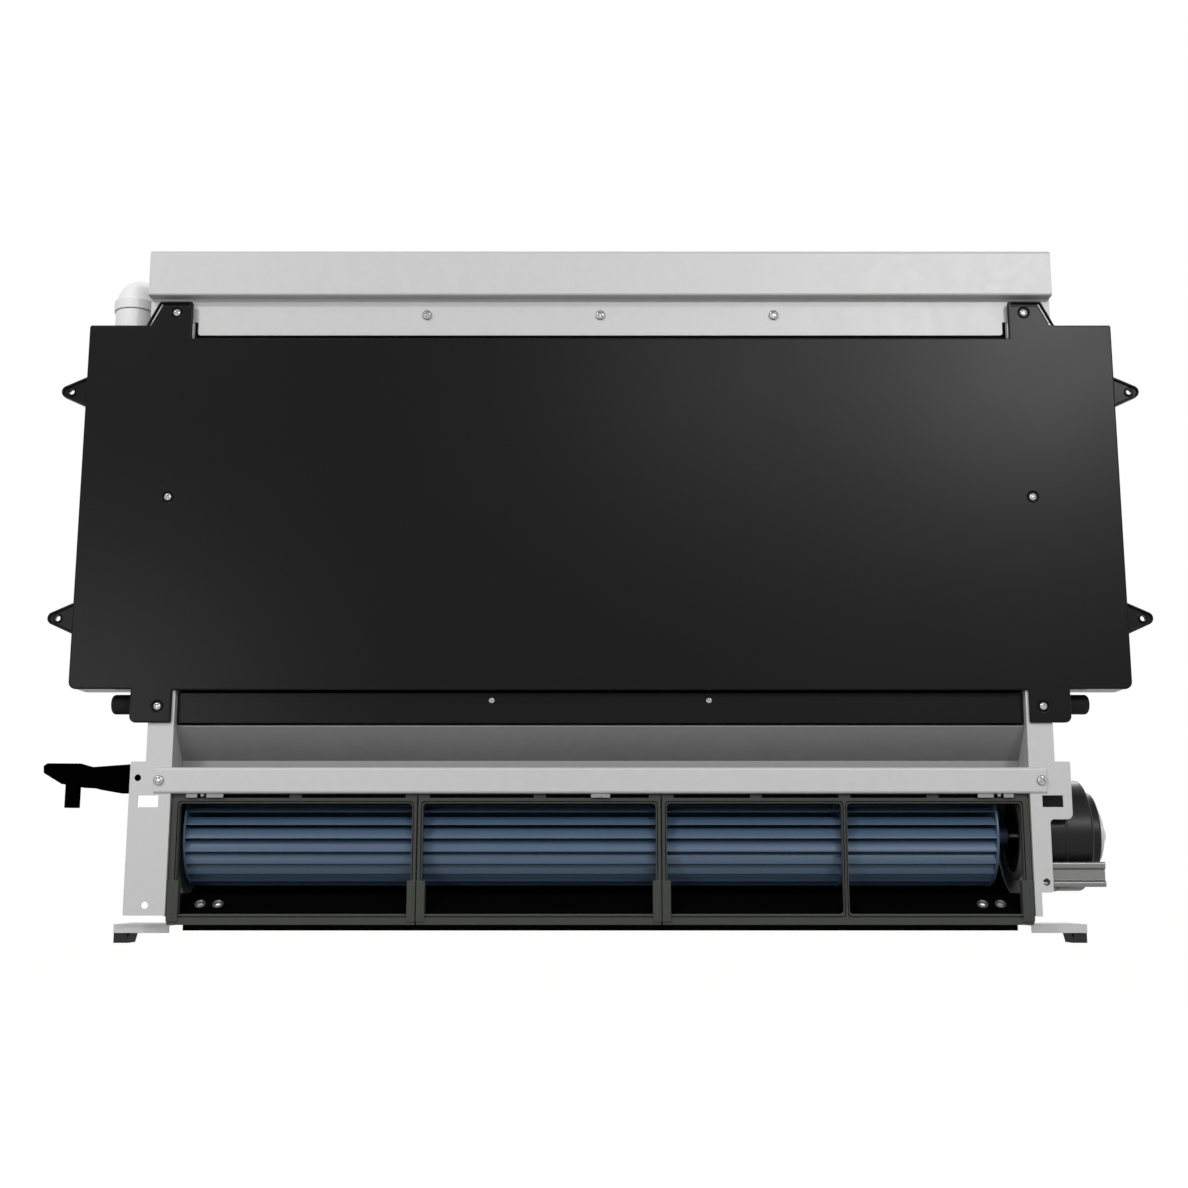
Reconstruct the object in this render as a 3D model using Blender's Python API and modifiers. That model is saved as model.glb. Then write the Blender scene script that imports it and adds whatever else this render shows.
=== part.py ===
"""Slim concealed fan coil unit, built as separate pieces at real size.

Metres, +Z up. X runs along the unit, the front faces -Y and the wall face of
the back panel lies in the plane Y = 0. Z = 0 is half way up the casing.
"""

import math

import bmesh
import bpy
from mathutils import Matrix, Vector

# Driving sizes of the casing
CASING_HALF_HEIGHT = 0.288
CASING_DEPTH = 0.126
DUCT_HALF_WIDTH = 0.3525
FLANGE_HALF_WIDTH = DUCT_HALF_WIDTH + 0.0385
SHEET = 0.0012
GAP = 0.0003
ROUND_STEPS = 20

# Front planes, measured from the wall face
TRAY_FRONT = -0.1235
TRAY_SKIN = 0.0025
SIDE_FLANGE_FRONT = TRAY_FRONT + TRAY_SKIN + 0.0005
CROSSBAR_FRONT = SIDE_FLANGE_FRONT - SHEET - GAP
UPPER_PANEL_FRONT = -0.1165

# Upper front panel with its folded outlet flange
OUTLET_FLANGE_HEIGHT = 0.0411
UPPER_PANEL_LOW = CASING_HALF_HEIGHT - 0.0743
UPPER_TONGUE_HALF = DUCT_HALF_WIDTH - 0.0033
UPPER_TONGUE_CORNER = 0.0025
UPPER_WING_LOW = CASING_HALF_HEIGHT - 0.0625
OUTLET_RETURN = 0.0120
UPPER_SCREW_X = (-0.1506, 0.0, 0.1506)

# Fan
FAN_AXIS_Y = -0.066
FAN_AXIS_Z = -CASING_HALF_HEIGHT + 0.0741
IMPELLER_RADIUS = 0.0430
IMPELLER_LEFT = -(DUCT_HALF_WIDTH - 0.0085)
IMPELLER_RIGHT = DUCT_HALF_WIDTH - 0.0235
BLADE_COUNT = 24
BLADE_CHORD = 0.0095
BLADE_THICKNESS = 0.0011
BLADE_LEAN = math.radians(32.0)
BLADE_TURN = math.radians(70.0)
BLADE_STEPS = 2
BLADE_OFFSET = math.radians(2.3)
END_DISC = 0.0045
MIDDLE_DISC = 0.0020
DISC_PLACES = (-0.1500, 0.0500, 0.2003)
DISC_BORE_RADIUS = 0.0310
DISC_STEPS = 30
HUB_RADIUS = 0.0075
HUB_LENGTH = 0.0165
SHAFT_RADIUS = 0.0030
SHAFT_FIT = 0.00031
BUSH_HOLE = 0.0140

# Intake frames
INTAKE_FRONT = -0.1175
INTAKE_DEPTH = 0.0065
INTAKE_TOP = -CASING_HALF_HEIGHT + 0.1036
INTAKE_BOTTOM = -CASING_HALF_HEIGHT + 0.0011
INTAKE_TOP_RAIL = 0.0048
INTAKE_BOTTOM_RAIL = 0.0087
INTAKE_SIDE_RAIL = 0.0068
INTAKE_SHARED_RAIL = 0.0043
INTAKE_RIB = 0.0048
INTAKE_SPLITS = (-0.1500, 0.0501)
INTAKE_RIB_PLACE = 0.2003
INTAKE_CORNER = 0.0030
CLIP_HALF_WIDTH = 0.0073
CLIP_TOP = -CASING_HALF_HEIGHT + 0.0365
CLIP_BOTTOM = -CASING_HALF_HEIGHT + 0.0037
CLIP_PROUD = 0.0015

# Scroll, tongue and the slanted front of the duct
SCROLL_LIP_Y = -0.1098
SCROLL_STRIP_LOW = -CASING_HALF_HEIGHT + -0.0035
SCROLL_STRIP_HALF = DUCT_HALF_WIDTH - 0.0125
SCROLL_SLOPE_TOP = (-0.0920, -CASING_HALF_HEIGHT + 0.0240)
SCROLL_START_RADIUS = 0.0490
SCROLL_END_RADIUS = 0.0624
SCROLL_HIGH = -CASING_HALF_HEIGHT + 0.1135
SCROLL_STEPS = 8
SCROLL_SLOPE = math.radians(40.0)
EYELET_RADIUS = 0.0036
EYELET_PLACES = (DUCT_HALF_WIDTH - 0.0382, DUCT_HALF_WIDTH - 0.0235)
EYELET_Y = -0.1010
EYELET_Z = -CASING_HALF_HEIGHT + 0.0170
TONGUE_RADIUS = 0.0480
TONGUE_FROM = math.radians(114.0)
TONGUE_TO = math.radians(146.0)
TONGUE_STEPS = 5
DUCT_PANEL_TOP = (-0.1125, -CASING_HALF_HEIGHT + 0.1630)
DUCT_PANEL_FOLD = (-0.0880, -CASING_HALF_HEIGHT + 0.1360)
DUCT_PANEL_LOW = -CASING_HALF_HEIGHT + 0.1180

# Insulation behind the front upper panel
LINING_FRONT = -0.1135
LINING_THICKNESS = 0.0040
LINING_LOW = CASING_HALF_HEIGHT - 0.0920
LINING_HIGH = CASING_HALF_HEIGHT - 0.0440

# Crossbar
CROSSBAR_HALF = DUCT_HALF_WIDTH + 0.0138
CROSSBAR_TOP = -CASING_HALF_HEIGHT + 0.1283
CROSSBAR_BOTTOM = -CASING_HALF_HEIGHT + 0.1067
CROSSBAR_RETURN = 0.0100
CROSSBAR_SCREW = (DUCT_HALF_WIDTH + 0.0098, -CASING_HALF_HEIGHT + 0.1176)

# Side plates
SIDE_TOP = CASING_HALF_HEIGHT - 0.0015
SIDE_SHOULDER = CASING_HALF_HEIGHT - 0.0830
SIDE_BOTTOM = -CASING_HALF_HEIGHT + 0.0080
FLANGE_UPPER_HALF = DUCT_HALF_WIDTH + 0.0185
FLANGE_LOWER_HALF = DUCT_HALF_WIDTH + 0.0215
FLANGE_WIDE_HALF = DUCT_HALF_WIDTH + 0.0341
FLANGE_SHOULDER = -CASING_HALF_HEIGHT + 0.1665
FLANGE_STEP = -CASING_HALF_HEIGHT + 0.1330
FLANGE_BOTTOM = -CASING_HALF_HEIGHT + 0.0087
MOTOR_CUT_TOP = -CASING_HALF_HEIGHT + 0.0858
MOTOR_CUT_HALF = DUCT_HALF_WIDTH + 0.0155
MOTOR_CUT_BOTTOM = -CASING_HALF_HEIGHT + 0.0270
STRIP_HALF = DUCT_HALF_WIDTH + 0.0056
WINDOW_LOW = (DUCT_HALF_WIDTH + 0.0098, -CASING_HALF_HEIGHT + 0.0957)
WINDOW_HIGH = (DUCT_HALF_WIDTH + 0.0268, -CASING_HALF_HEIGHT + 0.1053)
CABLE_HOLE = (DUCT_HALF_WIDTH + 0.0275, -CASING_HALF_HEIGHT + 0.1196)
CABLE_HOLE_RADIUS = 0.0028
FOOT_HOLE_LEFT = (DUCT_HALF_WIDTH + 0.0168, -CASING_HALF_HEIGHT + 0.0169)
FOOT_HOLE_RIGHT = (DUCT_HALF_WIDTH + 0.0101, -CASING_HALF_HEIGHT + 0.0352)
FOOT_HOLE_RADIUS = 0.0030

# Back panel
BACK_PANEL_LOW = -CASING_HALF_HEIGHT + 0.1160
WING_LOW = -0.0700
WING_SLOPE = 0.0080
WALL_SLOT_X = DUCT_HALF_WIDTH + 0.0275
WALL_SLOT_Z = (CASING_HALF_HEIGHT - 0.0280, WING_LOW + 0.0250)
WALL_SLOT_RADIUS = 0.0035
WALL_SLOT_RUN = 0.0080

# Coil, leaning back by its tilt
COIL_THICKNESS = 0.0400
COIL_HEIGHT = 2 * CASING_HALF_HEIGHT - 0.2760
COIL_LEAN = 0.06084
COIL_TILT = math.asin(COIL_LEAN / COIL_HEIGHT)
COIL_TUBES = 12
COIL_TUBE_PITCH = COIL_HEIGHT / COIL_TUBES
COIL_ROW_HALF = 0.0110
COIL_TUBE_RADIUS = 0.0048
FIN_COUNT = 40
FIN_SLOT_DEPTH = 0.0130
FIN_THICKNESS = 0.0040
BEND_STEPS = 4
COIL_WINDOW_MARGIN = 0.0035
SEAL_HALF_HEIGHT = 0.0065
HEADER_RADIUS = 0.0090
HEADER_OUT = 0.0240
RETURN_HEADER_TOP = COIL_HEIGHT / 2 - 0.0020
FLOW_OUTLET = -COIL_HEIGHT / 2 + 0.0320
BLEED_HEAD_RADIUS = 0.0055
BLEED_HEAD_HEIGHT = 0.0060
BLEED_SHANK_RADIUS = 0.0030
BLEED_SHANK_LENGTH = 0.0080
UNION_RADIUS = 0.0140
UNION_LENGTH = 0.0150

# Front drip tray
TRAY_HALF = DUCT_HALF_WIDTH + 0.0885
TRAY_TOP = CASING_HALF_HEIGHT - 0.0673
TRAY_BOTTOM = -CASING_HALF_HEIGHT + 0.1926
TRAY_MIDDLE_TOP = CASING_HALF_HEIGHT - 0.0790
TRAY_MIDDLE_HALF = DUCT_HALF_WIDTH + 0.0002
TRAY_LOWER_EDGE = -CASING_HALF_HEIGHT + 0.1918
TRAY_RIM = 0.0300
TRAY_INNER_RIM = 0.0100
TRAY_CORNER = 0.0060
TOP_TAB_HIGH = CASING_HALF_HEIGHT - 0.0457
TOP_TAB_OUT = DUCT_HALF_WIDTH + 0.0290
TOP_TAB_FOOT = DUCT_HALF_WIDTH + 0.0400
LOW_TAB_OUT = DUCT_HALF_WIDTH + 0.0367
LOW_TAB_LOW = -CASING_HALF_HEIGHT + 0.1648
LOW_TAB_CHAMFER = 0.0050
LOW_TAB_IN = DUCT_HALF_WIDTH + 0.0023
RIM_CLEAR = DUCT_HALF_WIDTH + 0.0240
EAR_TIP = TRAY_HALF + 0.0218
EAR_HOLE_X = TRAY_HALF + 0.0133
EAR_PLACES = (TRAY_TOP - 0.0589, TRAY_BOTTOM + 0.0599)
EAR_HALF_ROOT = 0.0140
EAR_TIP_RADIUS = 0.0055
EAR_HOLE_RADIUS = 0.0024
EAR_THICKNESS = 0.0040
EAR_SET_BACK = 0.0040
TRAY_SCREW_X = DUCT_HALF_WIDTH + 0.0138
TRAY_SCREW_Z = (CASING_HALF_HEIGHT - 0.0559, 0.0682, -CASING_HALF_HEIGHT + 0.1784)
SCREW_RECESS_RADIUS = 0.0052
SCREW_RECESS = 0.0012

# Condensate trough under the coil
TROUGH_FRONT = -0.1130
TROUGH_BACK = -0.0620
TROUGH_TOP = -CASING_HALF_HEIGHT + 0.1905
TROUGH_BOTTOM = -CASING_HALF_HEIGHT + 0.1655
TROUGH_WALL = 0.0020
SPOUT_Y = -0.1000
SPOUT_Z = -CASING_HALF_HEIGHT + 0.1821
SPOUT_RADIUS = 0.0058
SPOUT_BORE = 0.0038
SPOUT_END = DUCT_HALF_WIDTH + 0.0505
CAP_RADIUS = 0.0083
CAP_START = SPOUT_END - 0.0150
CAP_END = SPOUT_END + 0.0070
TROUGH_SCREW = (0.0905, -CASING_HALF_HEIGHT + 0.1844)

# Motor
MOTOR_RADIUS = 0.0463
MOTOR_WALL = 0.0035
MOTOR_START = DUCT_HALF_WIDTH + 0.0075
MOTOR_DRUM_END = MOTOR_START + 0.0450
MOTOR_END = MOTOR_DRUM_END + 0.0205
ISOLATOR_HOLE = 0.0270
ISOLATOR_BORE = 0.0200
ROTOR_RADIUS = MOTOR_RADIUS - 0.0123
STATOR_INNER = ROTOR_RADIUS + 0.0012
ROTOR_START = MOTOR_START + 0.0040
ROTOR_END = MOTOR_DRUM_END - 0.0030
END_CAP_RADIUS = 0.0163
END_CAP_PROUD = 0.0030
CRADLE_HIGH = -CASING_HALF_HEIGHT + 0.0510
CRADLE_LOW = -CASING_HALF_HEIGHT + 0.0320
CRADLE_FRONT = FAN_AXIS_Y - MOTOR_RADIUS - 0.0042
CRADLE_END = MOTOR_DRUM_END + 0.0070

# Water pipes on the left
RISER_X = -(DUCT_HALF_WIDTH + 0.0659)
RISER_Y = -0.0700
RISER_RADIUS = 0.0174
RISER_TOP = CASING_HALF_HEIGHT - 0.0195
KNEE_RADIUS = 0.0176
BELL_RADIUS = 0.0187
BELL_LOW = RISER_TOP - 0.0182
BELL_HIGH = BELL_LOW + 0.0097
SPIGOT_RADIUS = 0.0150
SPIGOT_RISE = 0.0100
CLIP_HEIGHT = CASING_HALF_HEIGHT - 0.0760

# Valve drip tray on the left
VALVE_TRAY_FRONT = -0.1000
VALVE_TRAY_DEPTH = 0.0600
VALVE_TRAY_WALL = 0.0020
VALVE_TRAY_HIGH = -CASING_HALF_HEIGHT + 0.1350

# Terminal box on the right
BOX_LOW = (DUCT_HALF_WIDTH + 0.0240, -0.0500, -0.0400)
BOX_HIGH = (DUCT_HALF_WIDTH + 0.0760, -0.0015, 0.1000)
BOX_LID = 0.0030

# Foot brackets
FOOT_FRONT = -0.1000
FOOT_BACK = -0.0450
FOOT_TOP = -CASING_HALF_HEIGHT + 0.0012
FOOT_LIP_LOW = FOOT_TOP - 0.0070
FOOT_OUT = DUCT_HALF_WIDTH + 0.0470
FOOT_TAB_TOP = FOOT_TOP + 0.0228
PAD_LOW = FOOT_TOP - 0.0150
PAD_WIDTH = 0.0142
PAD_DEPTH = 0.0200
PAD_SLOT = 0.0030

# Screws
PAN_HEAD_RADIUS = 0.0041
PAN_HEAD_HEIGHT = 0.0024
SMALL_HEAD_RADIUS = 0.0026
SHANK_RADIUS = 0.0017
SCREW_HOLE_RADIUS = 0.0021
SCREW_STEPS = 8

# Where the coil stands: its foot just above the trough
COIL_STAND = 0.00106
COIL_CENTRE = (
    -0.0570,
    TROUGH_TOP
    + COIL_STAND
    + COIL_HEIGHT / 2 * math.cos(COIL_TILT)
    + COIL_THICKNESS / 2 * math.sin(COIL_TILT),
)
RETURN_OUTLET = (RISER_Y - COIL_CENTRE[0]) / math.sin(COIL_TILT)

FACING_FRONT = (math.radians(90.0), 0.0, 0.0)
FACING_SIDE = (math.radians(90.0), 0.0, math.radians(90.0))
ALONG_X = (0.0, math.radians(90.0), 0.0)
TURNED_TO_FRONT = (math.radians(90.0), 0.0, 0.0)

FINISHES = {
    "galvanised": ((0.62, 0.63, 0.63), 0.42, 0.85),
    "dark_galvanised": ((0.36, 0.37, 0.37), 0.50, 0.80),
    "black_plastic": ((0.014, 0.014, 0.015), 0.42, 0.0),
    "black_sheet": ((0.010, 0.010, 0.011), 0.50, 0.0),
    "frame_plastic": ((0.070, 0.075, 0.070), 0.55, 0.0),
    "fan_blue": ((0.070, 0.125, 0.190), 0.45, 0.0),
    "steel": ((0.58, 0.57, 0.55), 0.30, 1.0),
    "rubber": ((0.025, 0.025, 0.026), 0.80, 0.0),
    "motor_black": ((0.012, 0.012, 0.013), 0.35, 0.0),
    "stator_iron": ((0.20, 0.20, 0.21), 0.55, 0.9),
    "white_plastic": ((0.80, 0.81, 0.80), 0.40, 0.0),
    "fin_aluminium": ((0.70, 0.71, 0.72), 0.40, 0.9),
    "copper": ((0.72, 0.37, 0.20), 0.35, 1.0),
    "union_brass": ((0.72, 0.53, 0.22), 0.32, 1.0),
    "foam": ((0.03, 0.03, 0.03), 0.95, 0.0),
    "zinc": ((0.70, 0.71, 0.72), 0.28, 1.0),
}


def clear_scene():
    for old in list(bpy.data.objects):
        bpy.data.objects.remove(old)


def new_collection(name):
    collection = bpy.data.collections.new(name)
    bpy.context.scene.collection.children.link(collection)
    return collection


def finish_for(name, finish):
    colour, roughness, metallic = FINISHES[finish]
    material = bpy.data.materials.new(name)
    material.use_nodes = True
    shader = material.node_tree.nodes["Principled BSDF"]
    shader.inputs["Base Color"].default_value = (*colour, 1.0)
    shader.inputs["Roughness"].default_value = roughness
    shader.inputs["Metallic"].default_value = metallic
    material.diffuse_color = (*colour, 1.0)
    return material


clear_scene()
PARTS = new_collection("fan_coil_unit")
CUTTERS = new_collection("fan_coil_unit_cutters")


def place_part(name, mesh, finish, location=(0, 0, 0), rotation=(0, 0, 0)):
    """A visible piece with its own material."""
    part = bpy.data.objects.new(name, mesh)
    PARTS.objects.link(part)
    mesh.materials.clear()
    mesh.materials.append(finish_for(name, finish))
    part.location = location
    part.rotation_euler = rotation
    return part


def place_tool(name, mesh, location=(0, 0, 0), rotation=(0, 0, 0)):
    """A hidden body that is cut from, or joined to, a piece."""
    tool = bpy.data.objects.new(name, mesh)
    CUTTERS.objects.link(tool)
    tool.location = location
    tool.rotation_euler = rotation
    tool.hide_render = True
    tool.display_type = "WIRE"
    return tool


def combine(part, tool, operation):
    change = part.modifiers.new(tool.name, "BOOLEAN")
    change.operation = operation
    change.solver = "EXACT"
    change.object = tool


def cut(part, *tools):
    for tool in tools:
        combine(part, tool, "DIFFERENCE")


def join(part, *tools):
    for tool in tools:
        combine(part, tool, "UNION")


def shade_round(mesh, sharp_degrees=35.0):
    mesh.shade_smooth()
    mesh.set_sharp_from_angle(angle=math.radians(sharp_degrees))


def circle(centre, radius, steps=16):
    return [
        (
            centre[0] + radius * math.cos(2 * math.pi * i / steps),
            centre[1] + radius * math.sin(2 * math.pi * i / steps),
        )
        for i in range(steps)
    ]


def rectangle(low, high):
    return [low, (high[0], low[1]), high, (low[0], high[1])]


def arc(centre, radius, start, end, steps):
    return [
        (
            centre[0] + radius * math.cos(start + (end - start) * i / steps),
            centre[1] + radius * math.sin(start + (end - start) * i / steps),
        )
        for i in range(steps + 1)
    ]


def rounded(corners, closed=True, steps=3):
    """Points with a fillet at each corner given as (u, v, radius)."""
    points = []
    count = len(corners)
    for i, corner in enumerate(corners):
        here = Vector(corner[:2])
        radius = corner[2] if len(corner) > 2 else 0.0
        at_end = not closed and i in (0, count - 1)
        if radius <= 0.0 or at_end:
            points.append((here.x, here.y))
            continue
        before = (Vector(corners[i - 1][:2]) - here).normalized()
        after = (Vector(corners[(i + 1) % count][:2]) - here).normalized()
        half = before.angle(after) / 2
        reach = radius / math.tan(half)
        middle = here + (before + after).normalized() * (radius / math.sin(half))
        first = here + before * reach - middle
        last = here + after * reach - middle
        turn = first.angle_signed(last)
        for k in range(steps + 1):
            spoke = first.copy()
            spoke.rotate(Matrix.Rotation(-turn * k / steps, 2))
            points.append((middle.x + spoke.x, middle.y + spoke.y))
    return points


def outline_mesh(name, loops, thickness, merged=False):
    """A filled flat outline, with any further loops as holes, made a closed mesh.

    merged joins the triangles of its flat faces, for a piece joined to many others.
    """
    curve = bpy.data.curves.new(name, "CURVE")
    curve.dimensions = "2D"
    curve.fill_mode = "BOTH"
    curve.extrude = thickness / 2
    for loop in loops:
        spline = curve.splines.new("POLY")
        spline.points.add(len(loop) - 1)
        for point, (u, v) in zip(spline.points, loop):
            point.co = (u, v, 0.0, 1.0)
        spline.use_cyclic_u = True
    return mesh_from_curve(name, curve, merged)


def mesh_from_curve(name, curve, merged=False):
    holder = bpy.data.objects.new(name + "_curve", curve)
    CUTTERS.objects.link(holder)
    graph = bpy.context.evaluated_depsgraph_get()
    mesh = bpy.data.meshes.new_from_object(holder.evaluated_get(graph))
    bpy.data.objects.remove(holder)
    mesh.name = name
    shape = bmesh.new()
    shape.from_mesh(mesh)
    bmesh.ops.remove_doubles(shape, verts=shape.verts, dist=0.000005)
    if merged:
        bmesh.ops.dissolve_limit(
            shape, angle_limit=math.radians(0.05), verts=shape.verts, edges=shape.edges
        )
    bmesh.ops.recalc_face_normals(shape, faces=shape.faces)
    shape.to_mesh(mesh)
    shape.free()
    return mesh


def tube_mesh(name, points, radius, sides=2):
    """A round bar along a path, with filled ends."""
    curve = bpy.data.curves.new(name, "CURVE")
    curve.dimensions = "3D"
    curve.bevel_depth = radius
    curve.bevel_resolution = sides
    curve.use_fill_caps = True
    spline = curve.splines.new("POLY")
    spline.points.add(len(points) - 1)
    for point, place in zip(spline.points, points):
        point.co = (*place, 1.0)
    mesh = mesh_from_curve(name, curve)
    shade_round(mesh)
    return mesh


def box_mesh(name, low, high):
    mesh = bpy.data.meshes.new(name)
    shape = bmesh.new()
    bmesh.ops.create_cube(shape, size=1.0)
    size = Vector(high) - Vector(low)
    middle = (Vector(high) + Vector(low)) / 2
    bmesh.ops.transform(
        shape, matrix=Matrix.Translation(middle) @ Matrix.Diagonal((*size, 1.0)), verts=shape.verts
    )
    shape.to_mesh(mesh)
    shape.free()
    return mesh


def cylinder_mesh(name, radius, length, steps=ROUND_STEPS):
    """A round bar; its flats are turned a little off the axes it will be joined along."""
    mesh = bpy.data.meshes.new(name)
    shape = bmesh.new()
    bmesh.ops.create_cone(
        shape,
        cap_ends=True,
        segments=steps,
        radius1=radius,
        radius2=radius,
        depth=length,
        matrix=Matrix.Rotation(math.radians(3.0), 4, "Z"),
    )
    shape.to_mesh(mesh)
    shape.free()
    shade_round(mesh)
    return mesh


def turned_part(name, profile, finish, location, rotation=ALONG_X, steps=ROUND_STEPS):
    """A lathe shape: (radius, height) points turned about the local Z axis.

    A profile that ends where it starts makes a ring.
    """
    closed = profile[0] == profile[-1]
    points = profile[:-1] if closed else profile
    edges = [(i, i + 1) for i in range(len(points) - 1)]
    if closed:
        edges.append((len(points) - 1, 0))
    mesh = bpy.data.meshes.new(name)
    mesh.from_pydata([(radius, 0.0, height) for radius, height in points], edges, [])
    part = place_part(name, mesh, finish, location, rotation)
    add_screw(part, steps)
    return part


def add_screw(part, steps):
    turning = part.modifiers.new("turning", "SCREW")
    turning.steps = steps
    turning.render_steps = steps
    turning.use_merge_vertices = True
    turning.merge_threshold = 0.00001
    turning.use_smooth_shade = True


def flat_part(name, loops, thickness, finish, location, rotation, merged=False):
    mesh = outline_mesh(name, loops, thickness, merged)
    return place_part(name, mesh, finish, location, rotation)


def flat_tool(name, loops, thickness, location, rotation, merged=False):
    return place_tool(name, outline_mesh(name, loops, thickness, merged), location, rotation)


def round_tool(name, radius, length, location, rotation, steps=16):
    return place_tool(name, cylinder_mesh(name, radius, length, steps), location, rotation)


def box_tool(name, low, high):
    return place_tool(name, box_mesh(name, low, high))


def folded_sheet(name, path, half_width, finish, thickness=SHEET):
    """A sheet bent along a (y, z) path and running from -X to +X about the middle."""
    mesh = bpy.data.meshes.new(name)
    shape = bmesh.new()
    rows = [
        [shape.verts.new((side * half_width, y, z)) for side in (-1, 1)] for y, z in path
    ]
    for lower, upper in zip(rows, rows[1:]):
        shape.faces.new((lower[0], lower[1], upper[1], upper[0]))
    shape.to_mesh(mesh)
    shape.free()
    part = place_part(name, mesh, finish)
    wall = part.modifiers.new("wall", "SOLIDIFY")
    wall.thickness = thickness
    wall.offset = 0.0
    wall.use_even_offset = True
    return part


def mirrored_x(points, side):
    """Outline points for one side; the left side is the right one turned over."""
    return [(side * u, v) for u, v in points]


def coil_point(across, up):
    """World (y, z) of a point given across and up the leaning coil."""
    return (
        COIL_CENTRE[0] + across * math.cos(COIL_TILT) + up * math.sin(COIL_TILT),
        COIL_CENTRE[1] - across * math.sin(COIL_TILT) + up * math.cos(COIL_TILT),
    )


# Casing

def build_back_panel():
    wide, narrow = FLANGE_HALF_WIDTH, DUCT_HALF_WIDTH + SHEET
    outline = rounded(
        [
            (-narrow, BACK_PANEL_LOW),
            (narrow, BACK_PANEL_LOW),
            (narrow, WING_LOW - WING_SLOPE),
            (wide, WING_LOW, 0.006),
            (wide, CASING_HALF_HEIGHT, 0.003),
            (-wide, CASING_HALF_HEIGHT, 0.003),
            (-wide, WING_LOW, 0.006),
            (-narrow, WING_LOW - WING_SLOPE),
        ]
    )
    slots = []
    for side in (-1, 1):
        for height in WALL_SLOT_Z:
            low = (side * WALL_SLOT_X, height - WALL_SLOT_RUN / 2)
            high = (side * WALL_SLOT_X, height + WALL_SLOT_RUN / 2)
            slots.append(
                arc(low, WALL_SLOT_RADIUS, math.pi, 2 * math.pi, 6)
                + arc(high, WALL_SLOT_RADIUS, 0.0, math.pi, 6)
            )
    panel = flat_part(
        "back_panel", [outline] + slots, SHEET, "galvanised", (0, -SHEET / 2, 0), FACING_FRONT
    )
    rail = box_tool(
        "back_panel_top_fold",
        (-DUCT_HALF_WIDTH + SHEET, -OUTLET_RETURN, CASING_HALF_HEIGHT - SHEET - GAP),
        (DUCT_HALF_WIDTH - SHEET, -SHEET / 2, CASING_HALF_HEIGHT - GAP),
    )
    join(panel, rail)
    return panel


def side_wall_loops(side):
    """The duct wall in (y, z), with the coil window, fan hole and spout hole."""
    front = SIDE_FLANGE_FRONT + SHEET
    high_front = UPPER_PANEL_FRONT + SHEET + GAP
    back = -SHEET - GAP
    outer = [
        (back, SIDE_BOTTOM),
        (back, SIDE_TOP),
        (high_front, SIDE_TOP),
        (high_front, SIDE_SHOULDER),
        (front - SHEET / 2, SIDE_SHOULDER),
        (front - SHEET / 2, SIDE_BOTTOM),
    ]
    across = COIL_THICKNESS / 2 - COIL_WINDOW_MARGIN
    up = COIL_HEIGHT / 2 - COIL_WINDOW_MARGIN
    window = [
        coil_point(*corner)
        for corner in ((-across, -up), (across, -up), (across, up), (-across, up))
    ]
    hole = ISOLATOR_HOLE if side > 0 else BUSH_HOLE
    loops = [outer, window, circle((FAN_AXIS_Y, FAN_AXIS_Z), hole, ROUND_STEPS)]
    loops.append(circle((SPOUT_Y, SPOUT_Z), SPOUT_RADIUS + GAP, 12))
    return loops


def left_flange_outline():
    return rounded(
        [
            (DUCT_HALF_WIDTH, FLANGE_BOTTOM),
            (FLANGE_WIDE_HALF, FLANGE_BOTTOM, 0.0015),
            (FLANGE_WIDE_HALF, FLANGE_STEP, 0.0015),
            (FLANGE_LOWER_HALF, FLANGE_STEP),
            (FLANGE_LOWER_HALF, FLANGE_SHOULDER, 0.0028),
            (FLANGE_UPPER_HALF, FLANGE_SHOULDER),
            (FLANGE_UPPER_HALF, SIDE_SHOULDER),
            (DUCT_HALF_WIDTH, SIDE_SHOULDER),
        ]
    )


def right_flange_outline():
    return rounded(
        [
            (DUCT_HALF_WIDTH, SIDE_BOTTOM),
            (STRIP_HALF, SIDE_BOTTOM),
            (STRIP_HALF, MOTOR_CUT_BOTTOM),
            (MOTOR_CUT_HALF, MOTOR_CUT_BOTTOM, 0.0020),
            (MOTOR_CUT_HALF, MOTOR_CUT_TOP, 0.0030),
            (FLANGE_WIDE_HALF, MOTOR_CUT_TOP, 0.0045),
            (FLANGE_WIDE_HALF, FLANGE_STEP, 0.0015),
            (FLANGE_LOWER_HALF, FLANGE_STEP),
            (FLANGE_LOWER_HALF, FLANGE_SHOULDER, 0.0028),
            (FLANGE_UPPER_HALF, FLANGE_SHOULDER),
            (FLANGE_UPPER_HALF, SIDE_SHOULDER),
            (DUCT_HALF_WIDTH, SIDE_SHOULDER),
        ]
    )


def build_side_plate(name, side):
    middle = side * (DUCT_HALF_WIDTH + SHEET / 2)
    plate = flat_part(
        name,
        side_wall_loops(side),
        SHEET,
        "galvanised",
        (middle, 0, 0),
        FACING_SIDE,
        merged=True,
    )
    outline = right_flange_outline() if side > 0 else left_flange_outline()
    foot_hole = FOOT_HOLE_RIGHT if side > 0 else FOOT_HOLE_LEFT
    loops = [outline, rectangle(WINDOW_LOW, WINDOW_HIGH), circle(foot_hole, FOOT_HOLE_RADIUS, 12)]
    loops.append(circle(CROSSBAR_SCREW, SCREW_HOLE_RADIUS, 8))
    for height in TRAY_SCREW_Z[1:]:
        loops.append(circle((TRAY_SCREW_X, height), SCREW_HOLE_RADIUS, 8))
    if side < 0:
        loops.append(circle(CABLE_HOLE, CABLE_HOLE_RADIUS, 12))
    loops = [mirrored_x(loop, side) for loop in loops]
    flange = flat_tool(
        name + "_flange",
        loops,
        SHEET,
        (0, SIDE_FLANGE_FRONT + SHEET / 2, 0),
        FACING_FRONT,
        merged=True,
    )
    join(plate, flange)
    return plate


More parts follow.
